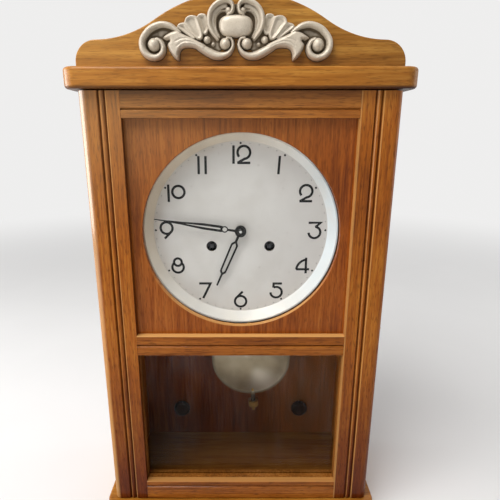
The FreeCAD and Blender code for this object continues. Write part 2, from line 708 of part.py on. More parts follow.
centre = Vector()
going = Vector(mm.winding_spacing / 2, 0, -mm.winding_drop)
strike = mirrored(going)
great_span = spacing(mm.great_module, GREAT, SECOND_PINION)
second_span = spacing(mm.second_module, SECOND, CENTRE_PINION)
third_span = spacing(mm.centre_module, CENTRE, THIRD_PINION)
escape_span = spacing(mm.third_module, THIRD, ESCAPE_PINION)
motion_span = spacing(mm.motion_module, MINUTE, CANNON)
hour_module = 2 * motion_span / (HOUR + MINUTE_PINION)
second = circles_meet(centre, second_span, going, great_span, above=False)
third = polar(centre, third_span, 111)
escape = Vector(0, 0, third.z + math.sqrt(escape_span**2 - third.x**2))
pivot = escape + Vector(0, 0, mm.anchor_rise)
minute_stud = polar(centre, motion_span, 55)
strike_second = polar(strike, great_span, 100)
pin_arbor = polar(strike_second, second_span, 65)
hammer_arbor = Vector(-50, 0, 48)
click_studs = [going + Vector(13, 0, 12), mirrored(going + Vector(13, 0, 12))]
pillar_spots = [Vector(x, 0, z) for x in (-55, 55) for z in (-52, 68)]


def toothed(teeth, module, start, end, aim, tooth=True, bore=0):
    """A wheel or pinion along Y, with a tooth or a gap on the line towards its mate."""
    pitch = module * teeth / 2
    share, tip, root = (0.42, 0.95, 1.1) if teeth > 20 else (0.4, 0.55, 1.35)
    half = share * math.pi / teeth
    flank = ((-root, 1), (0, 1), (0.55 * tip, 0.7), (tip, 0.25))
    tooth_line = [(r, -w) for r, w in flank] + [(r, w) for r, w in reversed(flank)]
    first = math.atan2(aim.x, aim.z) + (0 if tooth else math.pi / teeth)
    points = []
    for k in range(teeth):
        for r, w in tooth_line:
            angle = first + 2 * math.pi * k / teeth + w * half
            reach = pitch + r * module
            points.append((reach * math.sin(angle), reach * math.cos(angle)))
    wheel = flat(points, start, end)
    if teeth > 36:
        for k in range(5):
            spot = polar(centre, 0.55 * pitch, 18 + 72 * k)
            wheel = wheel.cut(bar(0.24 * pitch, start - 1, end + 1, spot.x, spot.z))
    return wheel.cut(bar(bore, start - 1, end + 1)) if bore else wheel


def saw_wheel(teeth, radius, depth, start, end):
    """A wheel with one-way teeth."""
    points = []
    for k in range(teeth):
        for r, share in ((radius - depth, 0.08), (radius, 0.12), (radius, 0.22), (radius - depth, 0.95)):
            angle = 2 * math.pi * (k + share) / teeth
            points.append((r * math.sin(angle), r * math.cos(angle)))
    return flat(points, start, end)


def arbor(start=0.3, end=None):
    """A train arbor between the plates with a pivot in each, counted from the front plate's inside."""
    end = mm.plate_gap - 0.3 if end is None else end
    pins = bar(mm.pivot_radius, -mm.plate_thickness, mm.plate_gap + mm.plate_thickness)
    return bar(mm.arbor_radius, start, end).fuse(pins)


def in_train(shape, spot, label):
    return named(solid(shape, spot.x, inside_front, dial_z + spot.z), label)


# Plates: brass, drilled for every arbor, with studs for the clicks and the minute wheel
small = mm.pivot_radius + mm.running_gap
wide = 3 + mm.running_gap
rear = 1.5 + mm.running_gap
train_spots = [second, third, escape, strike_second, pin_arbor]
front_holes = [(s, small) for s in train_spots + [pivot, hammer_arbor]]
front_holes += [(going, wide), (strike, wide), (centre, rear)]
back_holes = [(s, small) for s in train_spots] + [(going, rear), (strike, rear), (centre, rear)]
back_holes += [(s, mm.arbor_radius + mm.running_gap) for s in (pivot, hammer_arbor)]
back_holes += [(Vector(x, 0, z), 1.5 + mm.running_gap) for x, z in plate_screws]
for label, holes, y in (
    ("front_plate", front_holes, f"({FRONT} + movement_depth)"),
    ("back_plate", back_holes, f"({PLATE_BACK} - plate_thickness)"),
):
    holes = holes + [(s, 2 + mm.running_gap) for s in pillar_spots]
    start = front_face - 1 if label == "front_plate" else inside_back - 1
    drills = Part.makeCompound([bar(r, start, start + 5, s.x, s.z + dial_z) for s, r in holes])
    sheet_brass = box("-plate_half", y, f"{DIAL} - plate_fall", "2 * plate_half", "plate_thickness",
                      "plate_rise + plate_fall")
    plate = cut(sheet_brass, solid(drills))
    if label == "front_plate":
        studs = [solid(bar(1, front_face - 4, front_face, s.x, s.z + dial_z)) for s in click_studs]
        studs.append(solid(bar(1.2, front_face - 10.6, front_face, minute_stud.x, minute_stud.z + dial_z)))
        plate = fuse(plate, *studs)
    named(plate, label)

pillars = []
nuts = []
for spot in pillar_spots:
    x, z = spot.x, f"{DIAL} + {spot.z}"
    ends = rod(x, f"{FRONT} + movement_depth - 4", z, "2", "plate_gap + 2 * plate_thickness + 8", "Y")
    shaft = rod(x, f"{FRONT} + movement_depth + plate_thickness", z, "3.5", "plate_gap", "Y")
    pillars.append(fuse(shaft, ends))
    for y in (f"{FRONT} + movement_depth - 3", PLATE_BACK):
        hexagon = doc.addObject("Part::Prism", "nut")
        hexagon.Polygon = 6
        bind(hexagon, {"Circumradius": 4.4, "Height": 3})
        place(hexagon, x, y, z, "Y")
        nuts.append(cut(hexagon, rod(x, f"{y} - 1", z, "2 + running_gap", "5", "Y")))
named(group(*pillars), "pillars")
named(group(*nuts), "pillar_nuts")

# Brackets: two bent steel channels from the back board to the back plate
channels = []
for side in (-1, 1):
    section = [
        (44, PLATE_BACK),
        (60, PLATE_BACK),
        (60, WALL_FACE),
        (40, WALL_FACE),
        (40, f"{WALL_FACE} - 3"),
        (57, f"{WALL_FACE} - 3"),
        (57, f"{PLATE_BACK} + 3"),
        (44, f"{PLATE_BACK} + 3"),
    ]
    section = [(f"{side} * {x}", y) for x, y in section]
    spots = [(x, f"{WALL_FACE} - 4", z) for x, z in bracket_holes]
    spots += [(x, f"{PLATE_BACK} - 1", z) for x, z in plate_screws]
    drills = [rod(x, y, f"{DIAL} + {z}", "1.55", "5", "Y") for x, y, z in spots if x * side > 0]
    channels.append(cut(prism("XY_Plane", section, f"{DIAL} - 45", "75"), *drills))
named(group(*channels), "movement_brackets")

# Barrels: a great wheel closing a drum, the coiled spring inside, and the winding arbor through both
for name, spot, mate, side in (("going", going, second, 1), ("strike", strike, strike_second, -1)):
    wheel = toothed(GREAT, mm.great_module, 4, 6, mate - spot, bore=wide)
    wall = bar(mm.drum_radius, 5.5, 23).cut(bar(mm.drum_radius - 1.5, 8, 21.5)).cut(bar(wide, 0, 30))
    disc = bar(mm.drum_radius, 4, 8).cut(bar(wide, 0, 30))
    in_train(wheel.fuse([disc, wall]), spot, f"{name}_barrel")
    in_train(bar(mm.drum_radius - 2, 8.3, 21.2).cut(bar(6, 8, 22)), spot, f"{name}_spring")
    front = mm.plate_thickness
    shaft = bar(3, -front - 3, 24.5).fuse(bar(1.5, 24, mm.plate_gap + mm.plate_thickness))
    square = Part.makeBox(4.2, 13, 4.2, Vector(-2.1, -front - 15, -2.1))
    ratchet = saw_wheel(18, 9.5, 1.5, -front - 3, -front - 0.5)
    if side < 0:
        ratchet = ratchet.mirror(Vector(), Vector(1, 0, 0))
    in_train(shaft.fuse([square, ratchet]), spot, f"{name}_arbor")
    lever = [(2.4, -1.8), (2.4, 1.8), (-1, 2.4), (-8.6, 0.2), (-10.4, -2.4), (-8.4, -2.3), (-3, -1.6)]
    lever = [(side * x, z) for x, z in lever]
    stud = click_studs[0] if side > 0 else click_studs[1]
    click = flat(lever, -front - 2.8, -front - 0.6).cut(bar(1 + mm.running_gap, -front - 4, -front))
    in_train(click, stud, f"{name}_click")

# Going train from the second wheel to the escape wheel
pinion = toothed(SECOND_PINION, mm.great_module, 3, 7, going - second, tooth=False)
wheel = toothed(SECOND, mm.second_module, 25.5, 27, centre - second)
in_train(arbor().fuse([pinion, wheel]), second, "second_wheel")
pinion = toothed(CENTRE_PINION, mm.second_module, 25, 27.5, second - centre, tooth=False)
wheel = toothed(CENTRE, mm.centre_module, 29, 30.5, third - centre)
shaft = bar(1.5, -mm.plate_thickness - 25.5, mm.plate_gap + mm.plate_thickness)
in_train(shaft.fuse([pinion, wheel]), centre, "centre_wheel")
pinion = toothed(THIRD_PINION, mm.centre_module, 28.5, 31, centre - third, tooth=False)
wheel = toothed(THIRD, mm.third_module, 10, 11.5, escape - third)
in_train(arbor().fuse([pinion, wheel]), third, "third_wheel")
pinion = toothed(ESCAPE_PINION, mm.third_module, 9.5, 12, third - escape, tooth=False)
wheel = saw_wheel(ESCAPE, mm.escape_radius, 1.6, 20, 21.2)
for k in range(5):
    spot = polar(centre, 0.55 * mm.escape_radius, 18 + 72 * k)
    wheel = wheel.cut(bar(0.24 * mm.escape_radius, 19, 22, spot.x, spot.z))
in_train(arbor().fuse([pinion, wheel]), escape, "escape_wheel")

# Strike train: second wheel, and the pin wheel that trips the hammers
pinion = toothed(SECOND_PINION, mm.great_module, 3, 7, strike - strike_second, tooth=False)
wheel = toothed(SECOND, mm.second_module, 25.5, 27, pin_arbor - strike_second)
in_train(arbor().fuse([pinion, wheel]), strike_second, "strike_second_wheel")
pinion = toothed(CENTRE_PINION, mm.second_module, 25, 27.5, strike_second - pin_arbor, tooth=False)
pins = []
for k in range(8):
    spot = polar(centre, 11.5, 45 * k)
    pins.append(bar(0.8, 15.5, 20, spot.x, spot.z))
in_train(arbor().fuse([pinion, bar(13, 15, 16.5)] + pins), pin_arbor, "pin_wheel")

# Hammers: one arbor with a tail inside the plates and two arms behind them, and the gong they strike
back_room = -mm.back_thickness - back_face
rod_places = [back_face + back_room * share for share in (1 / 3, 2 / 3)]
aim = pin_arbor - hammer_arbor
tail_to = polar(centre, 13.5, math.degrees(math.atan2(aim.z, aim.x)))
tail_line = [(-2, 2), (-2, -2), (tail_to.x - 1, tail_to.z - 1), (tail_to.x + 1, tail_to.z + 1), (2, 2)]
hammer = arbor(end=rod_places[1] - inside_front + 1).fuse(flat(tail_line, 17, 19))
for rod_y in rod_places:
    y = rod_y - inside_front
    arm_shape = flat([(-1.5, -2), (2, -2), (-4.4, 28), (-7.4, 28)], y - 1, y + 1)
    head = Part.makeCylinder(4, 13, Vector(-18.4, y, 28), Vector(1, 0, 0))
    hammer = hammer.fuse([arm_shape, head])
in_train(hammer, hammer_arbor, "hammers")
block_z = f"({CEILING} - 46.5)"
GONG_ROOM = f"({WALL_FACE} - {PLATE_BACK})"
gong_places = [f"({PLATE_BACK} + {GONG_ROOM} * {k} / 3)" for k in (1, 2)]
wells = [
    rod("-gong_x", y, f"{block_z} - 1", "gong_radius + running_gap", "11", "Z") for y in gong_places
]
block = box("-gong_x - 11", f"{WALL_FACE} - {GONG_ROOM} * 0.9", block_z, "22", f"{GONG_ROOM} * 0.9", "14")
named(cut(block, *wells), "gong_block")
rods = [
    rod("-gong_x", y, f"{block_z} + 10 - gong_length", "gong_radius", "gong_length", "Z")
    for y in gong_places
]
named(group(*rods), "gong_rods")

# Motion work and hands: cannon pinion, minute wheel and hour wheel, 12 to 1
front = mm.plate_thickness
sleeve = bar(2.5, -front - 24.2, -front - 2).cut(bar(1.5 + mm.running_gap, -front - 30, 0))
pinion = toothed(CANNON, mm.motion_module, -front - 5.5, -front - 2, minute_stud, tooth=False, bore=2)
in_train(sleeve.fuse(pinion), centre, "cannon_pinion")
wheel = toothed(MINUTE, mm.motion_module, -front - 5.2, -front - 3.2, centre - minute_stud)
pinion = toothed(MINUTE_PINION, hour_module, -front - 10.2, -front - 4, centre - minute_stud, tooth=False)
hub = wheel.fuse(pinion).cut(bar(1.2 + mm.running_gap, -front - 12, 0))
in_train(hub, minute_stud, "minute_wheel")
wheel = toothed(HOUR, hour_module, -front - 9.5, -front - 7.5, minute_stud, bore=3)
pipe = bar(3.4, -front - 21.2, -front - 7.5).cut(bar(2.5 + mm.running_gap, -front - 30, 0))
in_train(wheel.fuse(pipe), centre, "hour_wheel")
nut_section = [(1.55, 0), (2.6, 0), (3.4, 0.8), (3.4, 1.9), (1.55, 1.9)]
named(turned(nut_section, "0", f"{FRONT} + movement_depth - 26.2", DIAL), "hand_nut")


def hand(label, bore, y, angle, pieces, windows):
    """A flat hand pointing up from its bore, then turned clockwise and set on its pipe."""
    blank = fuse(rod("0", "0", "0", "6.2", "0.8", "Y"), *pieces)
    body = cut(blank, rod("0", "-1", "0", bore, "3", "Y"), *windows)
    body.Placement = FreeCAD.Placement(Vector(), FreeCAD.Rotation(Vector(0, 1, 0), 1))
    bind(body, {"Placement.Base.y": y, "Placement.Base.z": DIAL, "Placement.Rotation.Angle": angle})
    return named(body, label)


def leaf_shape(tip, points, start="-0.8", length="0.8"):
    """A symmetric flat leaf along Z from (half width, share of the hand's length) points."""
    right = [(f"{w}", f"{share} * {tip}") for w, share in points]
    left = [(f"-{w}", f"{share} * {tip}") for w, share in reversed(points)]
    return prism("XZ_Plane", right + left, start, length)


def window(tip, points):
    """An opening through a hand."""
    return leaf_shape(tip, points, "-1.8", "2.8")


tip = f"({ring_foot} - minute_gap)"
hand(
    "minute_hand", "2.52", f"{FRONT} + movement_depth - 24.2", "minute_angle",
    [
        leaf_shape(tip, [(1.3, 0.045), (1.2, 0.16), (1.2, 0.2)]),
        rod("0", "0", f"0.185 * {tip}", "3.6", "0.8", "Y"),
        leaf_shape(tip, [(2.8, 0.2), (3.5, 0.225), (3.4, 0.43), (1.6, 0.68), (1, 0.84)]),
        leaf_shape(tip, [(0.8, 0.83), (0.4, 1)]),
    ],
    [
        rod("0", "-1", f"0.185 * {tip}", "2.4", "3", "Y"),
        window(tip, [(0.7, 0.235), (0.95, 0.25), (0.9, 0.43), (0.2, 0.63)]),
    ],
)
tip = "hour_length"
hand(
    "hour_hand", "3.42", f"{FRONT} + movement_depth - 21.2", "hour_angle",
    [
        leaf_shape(tip, [(1.4, 0.06), (1.3, 0.22)]),
        leaf_shape(tip, [(1.2, 0.19), (4.1, 0.243), (3.6, 0.745), (1.1, 0.79), (0.95, 1)]),
    ],
    [window(tip, [(0.3, 0.222), (2.1, 0.262), (1.65, 0.72), (0.3, 0.755)])],
)

# Pendulum: every piece hangs from the pivot and is stored swung to the right
PIVOT_Z = f"({DIAL} + {pivot.z:.6f})"
swing_y = f"({FRONT} + pendulum_depth)"


def hung(item, label, y=swing_y):
    item.Placement = FreeCAD.Placement(Vector(), FreeCAD.Rotation(Vector(0, -1, 0), 1))
    bind(item, {"Placement.Base.y": y, "Placement.Base.z": PIVOT_Z})
    bind(item, {"Placement.Rotation.Angle": "pendulum_angle"})
    return named(item, label)


cheeks = [box("-6", f"{swing_y} + {y}", f"{PIVOT_Z} - 4", "12", "2", "12") for y in (-5.5, 3.5)]
arm_plate = box("-6", PLATE_BACK, f"{PIVOT_Z} + 6", "12", f"{swing_y} + 5.5 - {PLATE_BACK}", "4")
flange = box("-9", PLATE_BACK, f"{PIVOT_Z} + 6", "18", "2", "12")
eye = rod("0", f"{swing_y} - 8", PIVOT_Z, "1.2 + running_gap", "16", "Y")
named(cut(fuse(arm_plate, flange, *cheeks), eye), "suspension_cock")

strip = fuse(
    rod("0", "-5.7", "0", "1.2", "11.4", "Y"),
    box("-0.2", "-2.5", "-13", "0.4", "5", "13"),
    box("-2.5", "-2.5", "-18", "5", "5", "6"),
)
hung(strip, "suspension_spring")
below_bob = "(pendulum_length + bob_radius)"
ferrule = rod("0", "0", "-24", "rod_radius + 0.8", "6")
hung(fuse(ferrule, rod("0", "0", f"-{below_bob} - 26", "rod_radius", f"{below_bob} + 8")), "pendulum_rod")
dome = "((bob_radius^2 + bob_bulge^2) / (2 * bob_bulge))"
domes = []
for side in (-1, 1):
    ball = doc.addObject("Part::Sphere", "dome")
    bind(ball, {"Radius": dome})
    domes.append(place(ball, 0, f"{side} * ({dome} - bob_bulge)", "-pendulum_length"))
lens = doc.addObject("Part::MultiCommon", "lens")
lens.Shapes = domes
rim = rod("0", "-0.5", "-pendulum_length", "bob_radius", "1", "Y")
tube = rod("0", "0", f"-{below_bob} - 11", "2.9", "16")
rod_way = rod("0", "0", f"-{below_bob} - 20", "rod_radius + 0.1", "2 * bob_radius + 40")
bob = cut(fuse(lens, rim, tube), rod_way)
hung(bob, "pendulum_bob")
knurl = []
for k in range(16):
    around = polar(centre, 7, 22.5 * k)
    knurl.append(rod(f"{around.x:.5f}", f"{around.z:.5f}", f"-{below_bob} - 21", "0.9", "12"))
nut = cut(
    rod("0", "0", f"-{below_bob} - 19", "6.6", "7.9"),
    rod("0", "0", f"-{below_bob} - 21", "rod_radius + 0.1", "12"),
    *knurl,
)
hung(nut, "rating_nut")

# Anchor: pallets over the escape wheel, and a crutch whose fork straddles the pendulum rod
crutch_y = back_face + 2.5 - inside_front
pallets = [(3, 3), (13.5, -7.5), (13.8, -13.4), (11.1, -12.8), (10.2, -8.5), (0, -3.5)]
pallets += [(-x, z) for x, z in reversed(pallets[:-1])]
fork_y = mm.pendulum_depth - mm.case_depth - inside_front
fork = [bar(0.8, crutch_y - 0.5, fork_y + 4, side * 3.2, -38) for side in (-1, 1)]
bridge = Part.makeBox(8, 1.6, 3, Vector(-4, crutch_y - 0.8, -39.5))
wire = Part.makeCylinder(0.9, 38, Vector(0, crutch_y, -38))
pins = bar(mm.pivot_radius, -mm.plate_thickness, 1)
shaft = bar(mm.arbor_radius, 0.3, crutch_y + 1.2)
hub = bar(2.6, crutch_y - 1.2, crutch_y + 1.2)
anchor = shaft.fuse([pins, flat(pallets, 19.7, 21.5), hub, wire, bridge] + fork)
item = solid(anchor)
item.Placement = FreeCAD.Placement(
    Vector(0, inside_front, dial_z + pivot.z), FreeCAD.Rotation(Vector(0, -1, 0), mm.pendulum_angle)
)
named(item, "anchor")

# Recompute, test every object and write one file for each named piece
doc.recompute()
for item in doc.Objects:
    if "Invalid" in item.State or "Error" in item.State:
        raise RuntimeError(f"{item.Label} did not recompute: {item.State}")
os.makedirs("parts", exist_ok=True)
for item in nodes:
    if item.Shape.isNull() or not item.Shape.isValid():
        raise RuntimeError(f"{item.Label} has no valid shape")
    item.Shape.exportStep(f"parts/{item.Label}.step")
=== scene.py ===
import math

import bpy
import numpy as np
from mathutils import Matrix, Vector


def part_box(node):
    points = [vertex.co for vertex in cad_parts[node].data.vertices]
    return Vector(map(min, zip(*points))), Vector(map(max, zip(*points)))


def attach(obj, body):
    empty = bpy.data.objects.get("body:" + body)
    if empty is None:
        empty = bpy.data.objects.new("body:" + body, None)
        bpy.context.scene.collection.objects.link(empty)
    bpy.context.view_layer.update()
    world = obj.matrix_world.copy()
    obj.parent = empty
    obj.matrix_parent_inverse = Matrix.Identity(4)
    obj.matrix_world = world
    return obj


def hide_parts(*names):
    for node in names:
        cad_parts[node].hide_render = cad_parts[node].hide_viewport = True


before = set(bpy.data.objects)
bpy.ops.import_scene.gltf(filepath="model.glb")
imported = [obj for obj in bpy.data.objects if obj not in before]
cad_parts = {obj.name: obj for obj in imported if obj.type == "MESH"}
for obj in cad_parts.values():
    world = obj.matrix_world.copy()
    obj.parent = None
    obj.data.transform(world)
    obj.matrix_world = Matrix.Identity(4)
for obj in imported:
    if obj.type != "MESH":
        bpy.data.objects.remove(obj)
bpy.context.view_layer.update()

# Back board: one wide oak board, a darker brown than the sides, that closes the case from behind.
# It is rebated into the sides, and everything inside the case hangs on it. Its darker brown is
# painted shade inside the case, and the right half of its inner face is painted paler as light.


class Tone:
    """A value on its way through a finish; sums written on it become Math nodes."""

    def __init__(self, tree, socket=None):
        self.tree, self.socket = tree, socket

    def node(self, kind, settings=None, sockets=None, out=0):
        """Any node: its settings first, then a value or a link for each of its sockets."""
        made = self.tree.nodes.new("ShaderNode" + kind)
        for name, value in (settings or {}).items():
            if name == "stops":
                stops = made.color_ramp.elements
                stops[0].position, stops[0].color = value[0]
                stops[1].position, stops[1].color = value[-1]
                for place, colour in value[1:-1]:
                    stops.new(place).color = colour
            else:
                setattr(made, name, value)
        for name, value in (sockets or {}).items():
            if isinstance(value, Tone):
                value.into(made.inputs[name])
            else:
                made.inputs[name].default_value = value
        return Tone(self.tree, made.outputs[out])

    def into(self, socket):
        self.tree.links.new(self.socket, socket)

    def math(self, operation, *values):
        return self.node("Math", {"operation": operation}, dict(enumerate(values)))

    def __add__(self, other):
        return self.math("ADD", self, other)

    def __sub__(self, other):
        return self.math("SUBTRACT", self, other)

    def __rsub__(self, other):
        return self.math("SUBTRACT", other, self)

    def __mul__(self, other):
        return self.math("MULTIPLY", self, other)

    def __pow__(self, other):
        return self.math("POWER", self, other)

    def __neg__(self):
        return self * -1

    def __abs__(self):
        return self.math("ABSOLUTE", self)

    __radd__, __rmul__ = __add__, __mul__

    def between(self, low, high):
        """0 below low, 1 above high, and an easy slope from one to the other."""
        return self.node("MapRange", {"interpolation_type": "SMOOTHSTEP"},
                         {"Value": self, "From Min": low, "From Max": high})

    def mix(self, first, second, way="MIX"):
        """The first colour where this value is 0, and the second where it is 1."""
        return self.node("Mix", {"data_type": "RGBA", "blend_type": way},
                         {0: self, 6: first, 7: second}, 2)

    def cloud(self, scale, detail=2.0, rough=0.5):
        """Cloudy noise at this place, with about scale blots to the metre."""
        return self.node("TexNoise", None, {"Vector": self, "Scale": scale, "Detail": detail,
                                            "Roughness": rough})

    def axes(self):
        """This place's distance along x, y and z, each as a value."""
        split = self.node("SeparateXYZ", None, {0: self}).socket.node
        return [Tone(self.tree, socket) for socket in split.outputs]


def stain(red, green, blue):
    """A colour as it looks on a paint card, turned into the light it sends back."""
    card = [c / 255 for c in (red, green, blue)]
    return (*[c / 12.92 if c < 0.04045 else ((c + 0.055) / 1.055) ** 2.4 for c in card], 1.0)


def new_finish(name, **steady):
    """A finish with its steady values set, its surface shader and the place on the piece."""
    finish = bpy.data.materials.new(name)
    finish.use_nodes = True
    skin = finish.node_tree.nodes["Principled BSDF"]
    for socket, value in steady.items():
        skin.inputs[socket.replace("_", " ")].default_value = value
    place = Tone(finish.node_tree).node("TexCoord", None, None, 3)
    return finish, skin.inputs, place


def relief(height, strength, deep):
    """Fine relief, too small for the mesh, from a value that stands for height."""
    return height.node("Bump", None, {"Height": height, "Strength": strength, "Distance": deep})


VARNISH = 0.07
# Colours for painted light on the upper left, painted shade at the foot, painted light on lit edges
# and faces, dust and painted shade in the grooves, and painted shade.
TOP_LIGHT_TINT = stain(98, 90, 64)
FOOT_SHADE_TINT = stain(160, 126, 102)
LIT_OAK = stain(212, 158, 92)
GROOVE_DUST_AND_SHADE = stain(70, 30, 10)
SHADED_OAK = stain(50, 24, 18)


def oak(name, along, deep, mid, pale, board, grooves=None, open_pore=0.35, wild=1.0, thick=None,
        light_falloff=0.0, painted_light=None, painted_shade=None):
    """Varnished oak: long figure, fine streaks and short open pores that run along the board.

    The board's number shifts the grain, so that no two boards match. The grooves are darkened as
    dust and as painted shade, and a thick varnish lies on a round edge at the left. A falloff
    amount paints light on the upper left and shade towards the foot. Two functions say how far a
    place is painted pale as light falling on it, or painted dark as shade.
    """
    finish, skin, place = new_finish(name, Coat_Weight=VARNISH, Coat_Roughness=0.12, Coat_IOR=2.0,
                                     IOR=1.5, Specular_IOR_Level=0.08)
    x, y, z = place.axes()
    laid, dashed = [place.node("Mapping", None, {
        "Vector": place, "Scale": [shrink if axis == along else 1.0 for axis in "XYZ"],
        "Location": (board * 0.41, board * 0.23, board * 0.17)}) for shrink in (0.045, 0.11)]
    figure = laid.cloud(60, 4, 0.6)
    streak = laid.cloud(420, 3, 0.6)
    pore = dashed.cloud(950, 1, 0.5).between(0.52, 0.7)
    age = place.cloud(9, 3, 0.6)
    tone = (figure - 0.5) * (0.7 * wild) + (streak - 0.5) * 0.95 + (age - 0.5) * 0.6 + 0.5
    colour = tone.node("ValToRGB", {"stops": [(0.2, deep), (0.5, mid), (0.8, pale)]},
                       {"Fac": tone})
    colour = (pore * open_pore).mix(colour, [c * 0.55 for c in deep[:3]] + [1.0])
    dull = pore * 0.25 + age * 0.2
    # Painted light on the upper left and painted shade towards the foot, as light falls from above
    # and the left.
    if light_falloff:
        top_light = (z - x * 0.45).between(-0.09, 0.15)
        colour = top_light.mix(colour, TOP_LIGHT_TINT, "SCREEN")
        foot = 1 - z.between(-0.45, -0.2)
        colour = (foot * light_falloff).mix(colour, FOOT_SHADE_TINT, "MULTIPLY")
    # Painted light: places painted paler where light falls on them.
    if painted_light:
        colour = painted_light(x, y, z).mix(colour, LIT_OAK)
    # The grooves are darkened as dust and as painted shade.
    if grooves:
        axis, centres, half, face, groove_darkening = grooves
        across_groove = abs(x) if axis == "X" else z
        dust_and_shade = sum(1 - abs(across_groove - c).between(half * 0.5, half) for c in centres)
        dust_and_shade = dust_and_shade * y.between(face + 0.0004, face + 0.0016)
        colour = (dust_and_shade * groove_darkening).mix(colour, GROOVE_DUST_AND_SHADE)
        dull = dull + dust_and_shade * 0.3
    # Painted shade: places painted darker where shade falls on them.
    if painted_shade:
        colour = painted_shade(x, y, z).mix(colour, SHADED_OAK)
    if thick:
        start, end, depth = thick
        round_edge = (-x).between(start, end) * (1 - y.between(depth, depth + 0.0025))
        built_up = round_edge * z.between(-0.32, -0.02)
        (built_up * 0.9 + VARNISH).into(skin["Coat Weight"])
    colour.into(skin["Base Color"])
    (dull + 0.24).into(skin["Roughness"])
    relief(streak * 0.4 + figure * 0.3 - pore, 0.3, 0.00022).into(skin["Normal"])
    return finish


def dress(finish, *nodes):
    """Puts one finish all over some pieces."""
    for node in nodes:
        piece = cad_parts[node]
        if not piece.material_slots:
            piece.data.materials.append(None)
        for place in piece.material_slots:
            place.material = finish


def ease_edges(width, *nodes):
    """Sands the sharp edges of a sawn piece to a small round."""
    for node in nodes:
        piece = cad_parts[node]
        join = piece.modifiers.new("join", "WELD")
        join.merge_threshold = 2e-6
        flats = piece.modifiers.new("flats", "DECIMATE")
        flats.decimate_type, flats.angle_limit = "DISSOLVE", math.radians(0.3)
        sanded = piece.modifiers.new("sanded", "BEVEL")
        sanded.width, sanded.segments = width, 2
        sanded.limit_method, sanded.angle_limit = "ANGLE", math.radians(38)
        sanded.miter_outer = "MITER_ARC"
        even = piece.modifiers.new("even", "WEIGHTED_NORMAL")
        even.mode, even.weight, even.keep_sharp = "FACE_AREA", 80, False


def lit_half(x, y, z):
    """Painted light: the right half of the inner face, painted paler where the light reaches it."""
    return x.between(-0.03, 0.1) * (1 - y.between(-0.006, -0.003)) * 0.17


# The back board's darker brown is painted shade, and its right half painted light.
dress(oak("oak_back_board", "Z", stain(66, 26, 10), stain(110, 48, 18), stain(140, 71, 30), 1,
          painted_light=lit_half), "back_board")

# Case sides: two upright oak boards, rebated for the back board and glued to it.
# They have one even coat of varnish, and their sharp edges are sanded off.
for board, node in enumerate(("left_side", "right_side")):
    dress(oak("oak_" + node, "Z", stain(112, 60, 20), stain(156, 92, 36), stain(186, 122, 56),
              3 + board), node)
    ease_edges(0.0008, node)

# Plinth and cornice: two boards with rounded corners, glued on below and above the sides.
# Both stand out past the door, in a warm varnish. The case floor and the cornice's underside are
# darkened as painted shade; the cornice's left end is painted paler as light and its right end
# darker as shade.
plinth_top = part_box("plinth")[1].z
DOOR_BACK = -0.116
SIDE_INSIDE = 0.138


def case_floor_shade(x, y, z):
    """Painted shade on the part of the plinth that is the floor of the case."""
    indoors = y.between(DOOR_BACK, DOOR_BACK + 0.006)
    indoors = indoors * (1 - abs(x).between(SIDE_INSIDE, SIDE_INSIDE + 0.005))
    return indoors * z.between(plinth_top - 0.0012, plinth_top - 0.0006) * 0.6


# The case floor is painted darker as shade.
dress(oak("oak_plinth", "X", stain(118, 68, 20), stain(164, 104, 34), stain(194, 136, 56), 6,
          painted_shade=case_floor_shade), "plinth")
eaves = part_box("cornice")[0].z


def under_cornice_shade(x, y, z):
    """Painted shade on the underside and its lower round, and on the right end."""
    underside = 1 - z.between(eaves + 0.0006, eaves + 0.0034)
    return underside * 0.75 + x.between(0.06, 0.17) * 0.22


# The cornice's left end is painted paler as light, and its right end and underside darker as shade.
dress(oak("oak_cornice", "X", stain(124, 74, 20), stain(162, 101, 34), stain(188, 130, 54), 7,
          thick=(0.157, 0.165, -0.134), painted_shade=under_cornice_shade,
          painted_light=lambda x, y, z: (-x).between(0.03, 0.16) * 0.12), "cornice")
ease_edges(0.0011, "plinth", "cornice")

# Pediment: the arched board on the cornice, cut to a double curve and glued on edge.
# Its left end is painted paler as light, like the cornice's, and its right end a little darker as
# painted shade.
# The pediment's left end is painted paler as light and its right end darker as shade.
dress(oak("oak_pediment", "X", stain(110, 68, 20), stain(156, 103, 38), stain(186, 134, 60), 9,
          painted_light=lambda x, y, z: (-x).between(0.0, 0.16) * 0.2,
          painted_shade=lambda x, y, z: x.between(0.06, 0.16) * 0.14), "pediment")
ease_edges(0.0012, "pediment")

# Carved crest: scrolls, acanthus leaves, shells and a boss, carved from one thin board.
# It is silvered, rubbed so that the dark ground shows in the hollows, and glued to the pediment
# a little left of its middle.
CREST_FACE = -0.126  # the pediment's front, in metres; the carving is drawn in millimetres
CREST_FOOT = 54.0  # the height in the case from which the carving's own heights count
CREST_MIDDLE = -4.3
CREST_HALF = 92
CREST_LOW, CREST_TOP = 3.6, 61
CREST_CELL = 0.4
SUNK = 0.7
BARE = -9.0  # where nothing stands on the board
GROUND = 1.4  # the thin web left between the forms
FALL = 2.2  # how steeply a form's side drops past its edge


def through(stations, steps=22):
    """A smooth run through stations of (across, up, half width, height), in millimetres."""
    s = np.array(stations, float)
    s = np.vstack([2 * s[0] - s[1], s, 2 * s[-1] - s[-2]])
    t = np.linspace(0, 1, steps, endpoint=False)[:, None]
    run = [0.5 * (2 * b + (c - a) * t + (2 * a - 5 * b + 4 * c - d) * t ** 2
                  + (3 * b - a - 3 * c + d) * t ** 3)
           for a, b, c, d in zip(s, s[1:], s[2:], s[3:])]
    return np.vstack(run + [s[-2:-1]])


